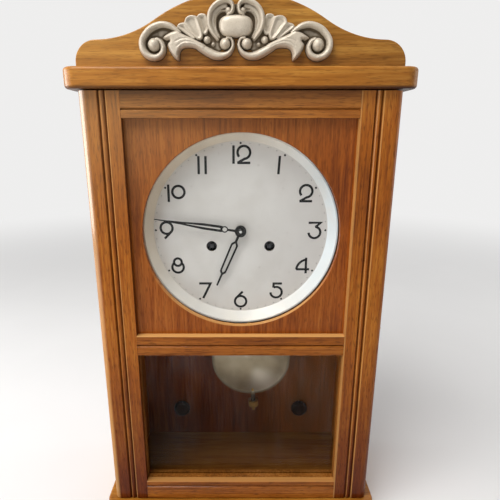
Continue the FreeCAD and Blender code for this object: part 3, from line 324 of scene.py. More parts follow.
def off_line(line):
    """Each place's distance from a line of points."""
    off = np.full(across.shape, 99.0)
    for (x0, h0), (x1, h1) in zip(line, line[1:]):
        dx, dh = x1 - x0, h1 - h0
        t = ((across - x0) * dx + (up - h0) * dh) / (dx * dx + dh * dh + 1e-9)
        t = np.clip(t, 0, 1)
        off = np.minimum(off, np.hypot(across - x0 - t * dx, up - h0 - t * dh))
    return off


def carve(stations, crown=2.3):
    """How far one scroll stands off the board; a higher crown has a flatter top."""
    best = np.full(across.shape, BARE)
    for x, h, half, high in through(stations):
        off = np.hypot(across - x, up - h)
        near = off < half * 1.6 + 1.0
        u = off[near] / half
        dome = high * np.clip(1 - np.clip(u, 0, 1) ** crown, 0, 1) ** 0.6
        best[near] = np.maximum(best[near], np.where(u > 1, (1 - u) * half * FALL, dome))
    return best


def blade(outline, high, roll, dish=0.0):
    """A leaf or petal inside an outline, rolled off at its edge and dished in its middle."""
    rim = through(outline + outline[:1], 9)
    inside = np.zeros(across.shape, bool)
    for (x0, h0), (x1, h1) in zip(rim, rim[1:]):
        if h0 != h1:
            crossing = x0 + (up - h0) * (x1 - x0) / (h1 - h0)
            inside ^= ((h0 > up) != (h1 > up)) & (across < crossing)
    off = off_line(rim)
    rise = np.sqrt(1 - (1 - np.clip(off / roll, 0, 1)) ** 2)
    sink = np.clip((off - roll) / (1.8 * roll), 0, 1)
    return np.where(inside, high * rise - dish * sink * sink * (3 - 2 * sink), -off * FALL)


def ball(x, h, r, high):
    """A bead, or a low swelling of the ground."""
    u = np.hypot(across - x, up - h) / r
    return np.where(u > 1, (1 - u) * r * FALL, high * np.sqrt(np.clip(1 - u ** 2, 0, 1)))


wide = np.arange(-CREST_HALF, CREST_HALF + CREST_CELL / 2, CREST_CELL)
tall = np.arange(CREST_LOW, CREST_TOP, CREST_CELL)
across, up = np.meshgrid(np.abs(wide), tall)
LONG_SCROLL = [(51.0, 28.8, 1.8, 7.0), (55.4, 31.8, 2.5, 7.4), (60.7, 34.7, 3.0, 7.8),
               (68.4, 35.5, 3.2, 8.0), (77.6, 32.0, 3.4, 8.0), (84.2, 25.0, 3.5, 8.0),
               (86.0, 19.0, 3.5, 8.0), (84.2, 12.8, 3.5, 8.0), (79.4, 8.8, 3.4, 7.8),
               (73.4, 8.0, 3.3, 7.6), (68.4, 11.0, 3.1, 7.4), (66.6, 16.2, 2.8, 7.2),
               (68.6, 21.0, 2.4, 7.0), (72.4, 23.4, 1.9, 6.8)]
ARM = [(33.0, 17.2, 4.0, 7.4), (29.6, 15.0, 4.0, 7.4), (24.4, 12.2, 4.2, 7.4),
       (18.7, 9.8, 4.1, 7.4), (12.5, 9.4, 3.5, 7.4), (7.0, 11.4, 2.7, 7.4),
       (3.6, 15.4, 2.0, 7.2), (2.8, 19.8, 1.8, 7.2), (4.6, 23.6, 1.8, 7.4), (8.0, 24.2, 1.6, 7.6)]
LEAF = [(53.3, 30.9), (48.4, 28.3), (43.4, 26.0), (37.3, 23.6), (31.1, 20.6), (27.0, 17.4),
        (28.0, 11.4), (32.3, 12.9), (37.3, 15.3), (42.2, 16.2), (47.2, 15.7), (50.2, 13.8),
        (51.7, 10.4), (52.5, 5.2), (56.6, 7.2), (59.6, 10.8), (62.0, 15.1), (62.9, 19.0),
        (60.7, 22.0), (63.6, 22.2), (66.8, 24.4), (63.2, 27.4), (58.3, 29.8)]
LEAF_FLUTES = [[(27.0, 13.4), (32.3, 15.0), (37.3, 17.4), (42.2, 18.4), (47.2, 18.0), (51.4, 15.4),
                (53.4, 9.6)],
               [(27.0, 15.4), (32.3, 17.2), (37.3, 19.6), (43.0, 20.8), (49.0, 20.2), (53.6, 17.0)],
               [(36.0, 21.2), (43.4, 23.2), (50.0, 23.0), (55.0, 20.8)]]
FLUTE_DEEP, FLUTE_WIDE = 0.5, 0.6
PETALS = [([(54.2, 32.8), (52.8, 35.8), (49.8, 37.2), (46.0, 37.2), (42.6, 32.6), (36.4, 24.6),
            (39.4, 22.8), (46.0, 27.0)], 5.4),
          ([(47.2, 36.4), (45.8, 40.4), (42.8, 42.8), (38.8, 43.3), (34.6, 41.8), (32.2, 36.0),
            (29.6, 27.6), (31.0, 22.8), (35.2, 22.4), (39.6, 26.6)], 6.8),
          ([(36.0, 41.8), (33.8, 44.4), (30.6, 45.1), (27.0, 44.0), (24.6, 38.0), (24.4, 31.0),
            (27.6, 26.6), (31.6, 29.2)], 4.4)]
PETAL_ROLL, PETAL_DISH = 1.5, 1.7
HOOP_RIM = [(16.6, 23.4, 1.6, 6.0), (20.8, 28.4, 2.2, 7.2), (23.6, 34.0, 2.5, 8.0),
            (24.2, 39.8, 2.6, 8.6), (22.7, 45.8, 2.8, 9.0), (18.9, 50.6, 2.9, 9.4),
            (13.6, 53.6, 2.9, 9.6), (8.0, 54.6, 2.8, 9.6), (4.0, 52.6, 2.4, 9.2),
            (2.6, 48.8, 2.0, 8.8), (3.8, 45.0, 1.9, 8.4), (7.0, 43.4, 1.7, 7.6)]
HOOP_HOLLOW = [(16.4, 25.6, 1.4, 3.8), (18.9, 29.8, 2.2, 4.6), (20.9, 34.6, 2.4, 5.0),
               (21.2, 40.0, 2.6, 5.2), (19.2, 45.2, 3.0, 5.2), (14.4, 49.4, 3.0, 5.0),
               (9.2, 50.6, 2.6, 4.8)]
HOOP_LIP = [(14.8, 25.0, 0.9, 4.2), (17.5, 30.6, 0.9, 5.2), (18.4, 36.6, 0.9, 5.7),
            (17.6, 42.0, 0.9, 5.9), (14.2, 45.8, 0.9, 6.0), (10.0, 46.8, 0.9, 6.0)]
BEADS = [(75.0, 18.8, 6.2, 9.2), (9.6, 19.6, 5.3, 9.4), (26.4, 22.8, 3.5, 6.8),
         (20.8, 19.2, 1.9, 4.6), (6.6, 46.8, 3.3, 8.2)]
SCROLL_GROUND = [(75.5, 21.5, 11.5, 1.8), (66.0, 27.5, 9.0, 1.6)]
BOSS_HALF, BOSS_TALL, BOSS_HIGH = 15.5, 9.5, 9.8
BOSS_MIDDLE = 34.0
BOSS_SQUARE = 2.9
leaf_mass = blade(LEAF, 8.0, 3.4)
for flute in LEAF_FLUTES:
    groove = FLUTE_DEEP * np.exp(-(off_line(through(flute, 8)) / FLUTE_WIDE) ** 2)
    leaf_mass = leaf_mass - groove * (leaf_mass > 2)
layers = [carve(LONG_SCROLL), carve(ARM), leaf_mass, carve(HOOP_RIM), carve(HOOP_HOLLOW, 5),
          carve(HOOP_LIP)]
layers += [ball(*bead) for bead in BEADS + SCROLL_GROUND]
layers += [blade(outline, high, PETAL_ROLL, PETAL_DISH) for outline, high in PETALS]
boss_half = BOSS_HALF - 0.1 * np.clip(35 - up, 0, 14)
boss = (across / boss_half) ** BOSS_SQUARE + np.abs((up - BOSS_MIDDLE) / BOSS_TALL) ** BOSS_SQUARE
boss_rise = BOSS_HIGH * np.clip(1 - boss, 0, 1) ** 0.28
layers.append(np.where(boss > 1, (1 - boss) * 8, boss_rise))
behind_boss = ((across / 19.5) ** 2 + ((up - 38.5) / 14.5) ** 2 < 1) & (up > 25)
behind_beads = (across < 31) & (up > 11) & (up < 30) & (up > 22 - across * 0.55) & (across > 5)
cut = np.maximum(np.max(layers, axis=0), np.where(behind_boss | behind_beads, GROUND, BARE))


def spread(field, cells):
    """A soft average of a field over a square of cells."""
    for axis in (0, 1):
        pad = [(cells, cells) if a == axis else (0, 0) for a in (0, 1)]
        padded = np.pad(field, pad, mode="edge")
        field = np.mean([np.take(padded, range(k, k + field.shape[axis]), axis)
                         for k in range(2 * cells + 1)], axis=0)
    return field


SHADE_HEIGHT = 3.2  # below this, a place counts as in the hollows
cut = 0.6 * cut + 0.4 * spread(cut, 1)
standing = np.clip(cut, 0, None)
hollow = (spread(standing, 6) - standing) / SHADE_HEIGHT
hollow = np.clip(hollow + 0.55 * np.clip(1 - standing / SHADE_HEIGHT, 0, 1), 0, 1)


def field_mesh(name, xs, heights, zs, keep, face, sunk):
    """A closed skin over a field of heights: a carved front, a flat back and a rim."""
    rows, cols = heights.shape
    cells = [(r, c) for r in range(rows - 1) for c in range(cols - 1) if keep[r, c]]
    used = sorted({(r + a, c + b) for r, c in cells for a in (0, 1) for b in (0, 1)})
    front = {rc: i for i, rc in enumerate(used)}
    count = len(used)
    points = [(xs[c], face - max(heights[r, c], -sunk), zs[r]) for r, c in used]
    points += [(xs[c], face + sunk * 1.8, zs[r]) for r, c in used]
    faces, edges = [], {}
    for r, c in cells:
        ring = [front[r, c], front[r, c + 1], front[r + 1, c + 1], front[r + 1, c]]
        faces += [ring, [i + count for i in reversed(ring)]]
        for a, b in zip(ring, ring[1:] + ring[:1]):
            edges[a, b] = True
    faces += [[a, a + count, b + count, b] for a, b in edges if (b, a) not in edges]
    mesh = bpy.data.meshes.new(name)
    mesh.from_pydata(points, [], faces)
    mesh.update()
    piece = bpy.data.objects.new(name, mesh)
    bpy.context.scene.collection.objects.link(piece)
    return piece, used


keep = np.max([cut[:-1, :-1], cut[1:, :-1], cut[:-1, 1:], cut[1:, 1:]], axis=0) > -SUNK
crest, used = field_mesh("crest_carving", (wide + CREST_MIDDLE) / 1000, cut / 1000,
                         (tall + CREST_FOOT) / 1000, keep, CREST_FACE, SUNK / 1000)
crest.data.shade_smooth()
crest.data.set_sharp_from_angle(angle=math.radians(60))
dark = crest.data.attributes.new("hollow", "FLOAT", "POINT")
dark.data.foreach_set("value", [hollow[r, c] for r, c in used] * 2)
silvering, skin, place = new_finish("silvered_carving", Coat_Weight=0.1, Coat_Roughness=0.3)
in_hollow = place.node("Attribute", {"attribute_name": "hollow"}, None, 2)
rub = place.cloud(160, 4, 0.65)
brushed = place.cloud(900, 3, 0.6)
worn = (in_hollow + rub * 0.5 - 0.25).between(0.04, 0.62)
leaf = rub.mix(stain(182, 169, 149), stain(208, 196, 178))
leaf = (brushed.between(0.5, 0.72) * 0.35).mix(leaf, stain(146, 131, 105))
worn.mix(leaf, stain(88, 72, 49)).into(skin["Base Color"])
(0.16 - worn * 0.14).into(skin["Metallic"])
(0.38 + worn * 0.35 + brushed * 0.12).into(skin["Roughness"])
relief(brushed * 0.6 + rub, 0.3, 0.0003).into(skin["Normal"])
crest.data.materials.append(silvering)
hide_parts("carved_crest")
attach(crest, "case")

# Steel fittings: the keyhole hanging plate, wood screws, movement brackets and gong rods.
# They are bright rolled or drawn steel, greyed and faintly spotted with age.
ARBOR_RADIUS = 0.0018


def metal(name, pale, dark, rough, spot, arbor=None):
    """A worked metal: fine draw lines, cloudy tarnish and small spots.

    A bright steel arbor is riveted in at the height that arbor gives.
    """
    finish, skin, place = new_finish(name, Metallic=1.0)
    drawn = place.node("Mapping", None, {"Vector": place, "Scale": (1, 1, 0.08)}).cloud(1500, 2)
    tarnish = place.cloud(70, 4, 0.65)
    specks = place.cloud(520, 2).between(0.62, 0.74)
    colour = tarnish.between(0.35, 0.75).mix(pale, dark)
    colour = (specks * spot).mix(colour, [c * 0.35 for c in dark[:3]] + [1.0])
    if arbor:
        x, _, z = place.axes()
        z = z - arbor
        out = (x * x + z * z) ** 0.5
        past_arbor = out.between(ARBOR_RADIUS - 0.0001, ARBOR_RADIUS + 0.0001)
        colour = past_arbor.mix(stain(222, 221, 218), colour)
    colour.into(skin["Base Color"])
    (tarnish * 0.25 + specks * 0.25 + drawn * 0.12 + (rough - 0.18)).into(skin["Roughness"])
    relief(drawn * 0.5 - specks, 0.18, 0.0001).into(skin["Normal"])
    return finish


steel = metal("clock_steel", stain(196, 196, 196), stain(142, 140, 137), 0.34, 0.4)
dress(steel, "hanger_plate", "screws", "movement_brackets", "gong_rods")

# Gong block: a cast iron lump that carries the gong rods, painted dark.
# The paint is thin, and the sandy casting shows through it.
iron, skin, place = new_finish("dark_iron", Metallic=0.4)
sand = place.cloud(650, 4, 0.7)
chip = place.cloud(120, 3).between(0.62, 0.7)
(sand * 0.6 + chip * 0.5).mix(stain(36, 36, 38), stain(84, 80, 78)).into(skin["Base Color"])
(0.42 + sand * 0.3).into(skin["Roughness"])
relief(sand - chip * 0.5, 0.5, 0.0004).into(skin["Normal"])
dress(iron, "gong_block")

# Movement frame: two brass plates on turned pillars, with the suspension cock on the back.
# The plates are rolled, lacquered and slightly toned; steel nuts hold the pillars.
brass = metal("clock_brass", stain(214, 178, 104), stain(168, 128, 62), 0.32, 0.35)
dress(brass, "front_plate", "back_plate", "pillars", "suspension_cock")
dress(steel, "pillar_nuts")

# Going and strike trains: cut brass wheels and spring barrels on steel arbors.
# Springs, clicks, anchor, hammers and winding squares are hardened steel; the winding squares
# get a darker copy of the steel as painted shade in the winding holes. The centre arbor's end
# shows bright in the middle of the dial.
CENTRE_ARBOR_Z = -0.108
dress(brass, "going_barrel", "strike_barrel", "second_wheel", "third_wheel", "escape_wheel",
      "strike_second_wheel", "pin_wheel", "minute_wheel")
dress(metal("centre_wheel_brass", stain(214, 178, 104), stain(168, 128, 62), 0.32, 0.35,
            CENTRE_ARBOR_Z), "centre_wheel")
dress(steel, "going_spring", "strike_spring", "going_click", "strike_click", "anchor", "hammers")
# The winding squares get a darker copy of the steel, as painted shade in the winding holes.
dress(metal("shaded_winding_steel", stain(92, 92, 95), stain(52, 52, 55), 0.3, 0.3), "going_arbor",
      "strike_arbor")

# Dial plate: a thin metal disc, silvered matt and slightly clouded.
# The rim at the upper left is painted beige as shade, and the right side a little greyer as
# painted shade.
DIAL_Z = CENTRE_ARBOR_Z
DIAL_FACE = -0.1008
silvered, skin, place = new_finish("silvered_dial", Metallic=0.3)
x, _, z = place.axes()
up_dial = z - DIAL_Z
radius = (x * x + up_dial * up_dial) ** 0.5
haze = place.cloud(26, 4, 0.6)
silver_grain = place.cloud(1900, 2)
# Painted shade: a beige rim at the upper left and a greyer right side.
rim = radius.between(0.078, 0.1) * (up_dial * 0.6 - x).between(-0.03, 0.1)
face = haze.between(0.3, 0.7).mix(stain(210, 205, 200), stain(220, 216, 212))
face = (x.between(0.0, 0.09) * 0.6).mix(face, stain(199, 194, 191))
face = (rim * haze.between(0.25, 0.7) * 0.55).mix(face, stain(164, 146, 126))
specks = place.cloud(330, 2).between(0.68, 0.76) * 0.2
specks.mix(face, stain(120, 104, 88)).into(skin["Base Color"])
(0.4 + haze * 0.16 + silver_grain * 0.06).into(skin["Roughness"])
relief(silver_grain + haze * 0.4, 0.12, 0.0001).into(skin["Normal"])
dress(silvered, "dial_plate")

# Figures and minute dots: black enamel printed on the dial, upright, in even strokes.
# Each figure stands a hair proud of the silvering.
PRINT = 0.09  # thickness, in millimetres like all of the print
SECOND_STROKE = 0.004  # how much a later stroke of a figure stands over the first
FIGURE_RING = 81.0
STROKE = 1.3  # half of a stroke's width
DOT_RING = 92.8
HOUR_DOT, MINUTE_DOT = 1.15, 0.42
DOT_SIDES = 14


def arc(cx, cy, r, start, end):
    """Points on an arc; angles in degrees, counted the way that the hands don't turn."""
    turn = np.radians(np.linspace(start, end, max(6, int(abs(end - start) / 9))))
    return [(cx + r * math.cos(a), cy + r * math.sin(a)) for a in turn]


TWO = [arc(0, 2.2, 6.6, 222, -84) + [(-6.6, -8.5)], [(-6.9, -8.5), (6.8, -8.5)]]
SIX = [arc(0, -2.5, 6.5, 0, 360), [(-5.7, 0.9), (2.4, 9.4)]]
ONE = [[(0.6, 9.5), (-0.6, -9.5)]]
ZERO = [arc(0, 1.4, 6.5, 0, 360)]
SMALL_ONE = [[(0.0, 9.4), (0.0, -9.4)]]


def shifted(strokes, dx):
    """The same strokes, moved sideways."""
    return [[(u + dx, v) for u, v in stroke] for stroke in strokes]


FIGURES = {
    1: ONE, 2: TWO,
    3: [[(-6.8, 8.4), (6.4, 8.4), (0.6, 3.6)], arc(0, -2.4, 6.4, 84, -178)],
    4: [[(3.0, 9.2), (3.0, -9.2)], [(-7.8, -4.4), (6.8, -4.4)], arc(4.9, -5.6, 12.6, 98, 175)],
    5: [[(6.4, 8.3), (-3.0, 8.3), (-3.2, 3.4)], arc(0, -2.2, 6.4, 118, -178)],
    6: SIX,
    7: [[(-6.5, 8.4), (6.4, 8.4), (-2.2, -9.4)]],
    8: [arc(0, 4.0, 4.3, 0, 360), arc(0, -1.9, 6.4, 48, -228)],
    9: [[(-u, -v) for u, v in stroke] for stroke in SIX],
    10: shifted(SMALL_ONE, -7.0) + shifted(ZERO, 3.6),
    11: shifted(SMALL_ONE, -3.7) + shifted(SMALL_ONE, 3.7),
    12: shifted(SMALL_ONE, -7.4) + shifted(TWO, 3.4),
}


def ribbon(points, half, cx, cz, lift, verts, faces):
    """One even stroke of print, laid on the dial as a thin closed strip."""
    p = np.array(points, float)
    closed = np.hypot(*(p[0] - p[-1])) < 1e-6
    if closed:
        p = p[:-1]
    ahead = (np.roll(p, -1, 0) if closed else np.vstack([p[1:], 2 * p[-1] - p[-2]])) - p
    behind = p - (np.roll(p, 1, 0) if closed else np.vstack([2 * p[0] - p[1], p[:-1]]))
    a = ahead / np.linalg.norm(ahead, axis=1)[:, None]
    b = behind / np.linalg.norm(behind, axis=1)[:, None]
    mid = a + b
    mid /= np.linalg.norm(mid, axis=1)[:, None]
    mitre = half / np.clip((mid * a).sum(1), 0.45, 1)
    side = np.stack([-mid[:, 1], mid[:, 0]], 1) * mitre[:, None]
    base, n = len(verts), len(p)
    for q, s in zip(p, side):
        for edge in (q + s, q - s):
            for proud in (lift, 0.0):
                verts.append(((edge[0] + cx) / 1000, DIAL_FACE - proud / 1000,
                              DIAL_Z + (edge[1] + cz) / 1000))
    last = n if closed else n - 1
    for i in range(last):
        k, m = base + 4 * i, base + 4 * ((i + 1) % n)
        faces += [[k, k + 2, m + 2, m], [k + 1, m + 1, m + 3, k + 3],
                  [k, m, m + 1, k + 1], [k + 2, k + 3, m + 3, m + 2]]
    if not closed:
        k, m = base, base + 4 * (n - 1)
        faces += [[k, k + 1, k + 3, k + 2], [m, m + 2, m + 3, m + 1]]


def printed(name, verts, faces, finish):
    """A print made into a piece of its own, fixed to the case with the dial."""
    mesh = bpy.data.meshes.new(name)
    mesh.from_pydata(verts, [], faces)
    mesh.update()
    mesh.materials.append(finish)
    piece = bpy.data.objects.new(name, mesh)
    bpy.context.scene.collection.objects.link(piece)
    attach(piece, "case")


enamel, skin, place = new_finish("dial_enamel", Specular_IOR_Level=0.25)
thin = place.cloud(420, 3, 0.6)
thin.between(0.3, 0.8).mix(stain(12, 12, 13), stain(30, 29, 29)).into(skin["Base Color"])
(0.4 + thin * 0.25).into(skin["Roughness"])
relief(thin, 0.1, 0.0001).into(skin["Normal"])
for hour, strokes in FIGURES.items():
    turn = math.radians(30 * hour)
    verts, faces = [], []
    for layer, stroke in enumerate(strokes):
        ribbon(stroke, STROKE, FIGURE_RING * math.sin(turn), FIGURE_RING * math.cos(turn),
               PRINT + SECOND_STROKE * layer, verts, faces)
    printed("figure_%02d" % hour, verts, faces, enamel)
verts, faces = [], []
for minute in range(60):
    turn = math.radians(6 * minute)
    half = HOUR_DOT if minute % 5 == 0 else MINUTE_DOT
    dot_x, dot_z = DOT_RING * math.sin(turn), DOT_RING * math.cos(turn)
    corners = [2 * math.pi * k / DOT_SIDES for k in range(DOT_SIDES)]
    base = len(verts)
    for proud in (PRINT, 0.0):
        verts += [((dot_x + half * math.cos(a)) / 1000, DIAL_FACE - proud / 1000,
                   DIAL_Z + (dot_z + half * math.sin(a)) / 1000) for a in corners]
    top = [base + k for k in range(DOT_SIDES)]
    foot = [k + DOT_SIDES for k in top]
    faces += [top, foot[::-1]]
    faces += [[a, c, d, b] for a, b, c, d in zip(top, top[1:] + top[:1], foot, foot[1:] + foot[:1])]
printed("minute_dots", verts, faces, enamel)

# Reflector ring: a spun ring that slopes in from the door's round hole to the dial.
# It is bright nickel, with faint turning lines and a dull film. Its right side is tinted blue as a
# painted reflection, and its upper left is painted tan as shade.
ring, skin, place = new_finish("bright_ring", Metallic=0.3)
x, y, z = place.axes()
z = z - DIAL_Z
turned = place.node("CombineXYZ", None, {0: (x * x + z * z) ** 0.5, 1: y}).cloud(1600, 2)
film = place.cloud(40, 4, 0.6)
# Painted reflection: a bluer right side; painted shade: a tan upper left.
nickel_and_reflection = x.between(0.03, 0.1).mix(stain(244, 239, 231), stain(230, 238, 243))
nickel_and_reflection = (film.between(0.3, 0.75) * 0.7).mix(nickel_and_reflection, stain(232, 230, 227))
upper_left_shade = (z * 0.8 - x).between(-0.01, 0.13) * 0.75
upper_left_shade.mix(nickel_and_reflection, stain(226, 206, 178)).into(skin["Base Color"])
(0.24 + film * 0.2 + turned * 0.08).into(skin["Roughness"])
relief(turned, 0.12, 0.0001).into(skin["Normal"])
dress(ring, "dial_ring")

# Hands and motion work: sawn steel hands with open tips, blacked, pressed on the pipes of the
# brass hour wheel and the steel cannon pinion. A domed nut, blacked too, holds the minute hand.
black, skin, place = new_finish("black_steel", Coat_Weight=0.12, Coat_Roughness=0.2,
                                Specular_IOR_Level=0.2)
brush = place.cloud(700, 3, 0.6)
bare = place.cloud(90, 3).between(0.6, 0.78)
(brush * 0.5 + bare * 0.4).mix(stain(14, 13, 13), stain(46, 44, 42)).into(skin["Base Color"])
(0.32 + brush * 0.22 + bare * 0.1).into(skin["Roughness"])
relief(brush, 0.15, 0.0001).into(skin["Normal"])
dress(black, "minute_hand", "hour_hand", "hand_nut")
dress(brass, "hour_wheel")
dress(steel, "cannon_pinion")
ease_edges(0.0002, "hand_nut")

# Door frame: three oak rails tenoned into two stiles, which have two run grooves with a bead
# between and a rounded outer edge. The grooves and the left stile's inner reveal are darkened as
# dust and painted shade, the upper left gets painted light and the foot painted shade, and lit
# edges, groove lips and ledges are painted pale as highlights.
DOOR_FACE = -0.13
GROOVES = (0.129, 0.135)
GROOVE_LIP = 0.0012
ROUND_EDGE = 0.147
INNER_EDGE = 0.1152
LEFT_REVEAL = 0.1139


def stile_highlights(side):
    """Painted highlights on the left stile's round edge, a lip of each groove and the right inner
    edge.
    """
    def stile_glints(x, y, z):
        # Painted highlights: pale lines on the groove lips, the left round edge and the right inner
        # edge.
        lips = sum(1 - abs(abs(x) - c - side * GROOVE_LIP).between(0.0003, 0.001) for c in GROOVES)
        lips = lips * (1 - y.between(DOOR_FACE + 0.0006, DOOR_FACE + 0.0014))
        edge = (-x).between(ROUND_EDGE, ROUND_EDGE + 0.0035)
        edge = edge * (1 - y.between(DOOR_FACE + 0.0045, DOOR_FACE + 0.007))
        inner = 1 - (x * side).between(INNER_EDGE, INNER_EDGE + 0.001)
        return edge * 0.5 + lips * 0.5 + inner * (0.25 + side * 0.25)
    return stile_glints


# The grooves are darkened as dust and painted shade, and the left stile's inner reveal as painted
# shade.
for side, node, groove_darkening in ((-1, "left_stile", (*GROOVES, LEFT_REVEAL)),
                          (1, "right_stile", GROOVES)):
    stile_grooves = ("X", [c - side * 0.0005 for c in groove_darkening], 0.0014, DOOR_FACE, 0.7)
    stile_round = (ROUND_EDGE - 0.0005, ROUND_EDGE + 0.002, DOOR_FACE + 0.0042)
    dress(oak("oak_" + node, "Z", stain(104, 50, 11), stain(152, 82, 19), stain(180, 112, 36),
              12 + side, stile_grooves, open_pore=0.5, thick=stile_round, light_falloff=1.0,
              painted_light=stile_highlights(side)), node)

# Each rail with the height of its groove, the painted light on its top ledge and the painted shade
# at its top, under the cornice.
RAILS = (("top_rail", 0.0168, 0.0, 0.45),
         ("mid_rail", -0.23275, 0.95, 0.0),
         ("bottom_rail", -0.4235, 0.5, 0.0))
for board, (node, groove, ledge_light, shade_at_top) in enumerate(RAILS):
    rail_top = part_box(node)[1].z
    dress(oak("oak_" + node, "X", stain(98, 48, 10), stain(144, 79, 21), stain(172, 105, 38),
              15 + board, ("Z", (groove,), 0.0018, DOOR_FACE, 0.3), open_pore=0.5, wild=1.7,
              light_falloff=0.2,
              painted_light=lambda x, y, z: z.between(rail_top - 0.0012, rail_top - 0.0004) * ledge_light,
              painted_shade=lambda x, y, z: z.between(rail_top - 0.018, rail_top) * shade_at_top), node)
ease_edges(0.0007, "left_stile", "right_stile", "top_rail", "mid_rail", "bottom_rail")

# Dial panel: a thin veneered panel behind the upper door opening, with a round hole.
# Its veneer is redder than the frame, with open pores that run straight up. The lower lip of the
# hole is painted pale as a highlight, and the panel has a little painted light and shade from top
# to foot.
ring_low, ring_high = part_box("dial_ring")
HOLE = (ring_high.x - ring_low.x) / 2


def hole_lip_highlight(x, y, z):
    """Painted highlight on the lower lip of the hole."""
    up_panel = z - DIAL_Z
    lip = 1 - ((x * x + up_panel * up_panel) ** 0.5).between(HOLE, HOLE + 0.0006)
    return lip * (1 - up_panel.between(-0.085, -0.03)) * 0.6


dress(oak("oak_dial_panel", "Z", stain(97, 43, 10), stain(142, 73, 20), stain(167, 97, 36), 20,
          open_pore=0.4, wild=0.35, light_falloff=0.1, painted_light=hole_lip_highlight), "dial_panel")
ease_edges(0.0014, "dial_panel")

# Panes: two rectangles of old drawn glass, behind the dial panel and over the pendulum.
# The glass is clear, with a thin film of dust and wiping marks, and the beads hold it.


def pane(name, tint):
    """Clear glass that mirrors more the flatter it is seen, with a faint wave in it."""
    finish = bpy.data.materials.new(name)
    finish.use_nodes = True
    tree = finish.node_tree
    tree.nodes.remove(tree.nodes["Principled BSDF"])
    place = Tone(tree).node("TexCoord", None, None, 3)
    wiped = place.node("Mapping", None, {"Vector": place, "Rotation": (0, 0.7, 0),
                                         "Scale": (1, 1, 0.2)}).cloud(60, 4, 0.65)
    wave = relief(place.cloud(18, 2), 0.05, 0.001)
    edge_on = place.node("LayerWeight", None, {"Blend": 0.5, "Normal": wave}, 1)
    clear = place.node("BsdfTransparent", None, {"Color": tint})
    gloss = place.node("BsdfGlossy", None, {"Color": (1, 1, 1, 1), "Roughness": 0.04,
                                            "Normal": wave})
    amount = edge_on ** 5 * 0.8 + wiped.between(0.4, 0.8) * 0.012 + 0.002
    both = place.node("MixShader", None, {0: amount, 1: clear, 2: gloss})
    both.into(tree.nodes["Material Output"].inputs["Surface"])
    return finish


dress(pane("clear_glass", (0.985, 0.99, 0.986, 1)), "dial_glass", "pendulum_glass")

# Glazing beads: thin oak strips pinned behind the panes.
# They are the frame's own oak, left a little rougher.
dress(oak("oak_beads", "Z", stain(96, 54, 18), stain(136, 82, 30), stain(164, 108, 50), 22),
      "glazing_beads")

# Hinges, latch hook and stud: stamped and turned brass on the sides of case and door.
# The hook hangs open, and swings up on to the stud to keep the door shut.
dress(brass, "case_hinges", "door_hinges", "latch_hook", "latch_stud")

# Pendulum: a spring strip and brass rod with a large spun disc that slides on its end.
# The disc is nickelled, with fine turning lines and a dull rim; a nut below it sets the rate. A
# highlight is painted in two wedges across the disc, the rim is painted darker as shade, most at
# the bottom, and the tube below the disc is painted dark as shade.
BOB_RIM = 0.0485
HIGHLIGHT_ANGLE = 1.08
spun, skin, place = new_finish("spun_bob")
bob_low, bob_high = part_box("pendulum_bob")
bob_radius = (bob_high.x - bob_low.x) / 2
x, _, z = place.axes()
x, z = x - (bob_low.x + bob_radius), z - (bob_high.z - bob_radius)
out = (x * x + z * z) ** 0.5
lines = place.node("CombineXYZ", None, {0: out}).cloud(1300, 2, 0.6)
film = place.cloud(45, 4, 0.6)
# Painted highlight: two bright wedges across the disc, where a spun finish would catch the lamps.
highlight_turn = z.math("ARCTAN2", z, x) + HIGHLIGHT_ANGLE
painted_highlight = abs(highlight_turn.math("COSINE", highlight_turn)) ** 10 * out.between(0.002, 0.03)
dull_nickel = film.between(0.3, 0.75).mix(stain(160, 147, 124), stain(138, 125, 102))
nickel_and_highlight = (painted_highlight * 0.65).mix(dull_nickel, stain(236, 230, 216))
# Painted shade: the rim darker, most at the bottom.
rim = out.between(BOB_RIM, BOB_RIM + 0.003)
rim_shade = z.between(-0.055, -0.02).mix(stain(120, 103, 78), stain(138, 122, 98))
nickel_and_highlight = rim.mix(nickel_and_highlight, rim_shade)
# Painted shade: the tube below the disc painted dark.
tube = out.between(bob_radius - 0.0002, bob_radius + 0.0006)
tube.mix(nickel_and_highlight, stain(58, 44, 24)).into(skin["Base Color"])
(0.9 - rim * 0.75).into(skin["Metallic"])
(0.34 + film * 0.16 + rim * 0.4).into(skin["Roughness"])
relief(lines, 0.3, 0.0003).into(skin["Normal"])
dress(spun, "pendulum_bob")
ease_edges(0.0002, "pendulum_bob")
dress(brass, "pendulum_rod", "rating_nut")
dress(steel, "suspension_spring")

# Levelling screws: two knobs in brown-black lacquer, on threaded stems through the back board.
# They press on the wall and hold the foot of the case plumb.
lacquer, skin, place = new_finish("knob_lacquer", Specular_IOR_Level=0.25)
scuff = place.cloud(240, 4, 0.65)
scuff.between(0.35, 0.75).mix(stain(20, 12, 9), stain(58, 38, 29)).into(skin["Base Color"])
(0.36 + scuff * 0.3).into(skin["Roughness"])
relief(scuff, 0.2, 0.0002).into(skin["Normal"])
dress(lacquer, "level_screw_left", "level_screw_right")

# Studio: a wide sheet of pale paper under the plinth, and a bright soft surround that shows in
# metal and glass but adds little light. Five large soft lamps light the clock, most of it from
# above and from the left.
FLOOR_Z = -0.4665
FLOOR_HALF = 12.0
SURROUND = 0.86
AMBIENT = 0.2
PAPER_WHITE = (1, 0.995, 0.99, 1)


def seen_rays(start):
    """1 for what the camera sees straight, mirrored or through glass, and 0 for other light."""
    path = start.node("LightPath").socket.node.outputs
    seen = Tone(start.tree, path["Is Camera Ray"])
    for ray in ("Is Glossy Ray", "Is Transmission Ray"):
        seen = seen.math("MAXIMUM", seen, Tone(start.tree, path[ray]))
    return seen


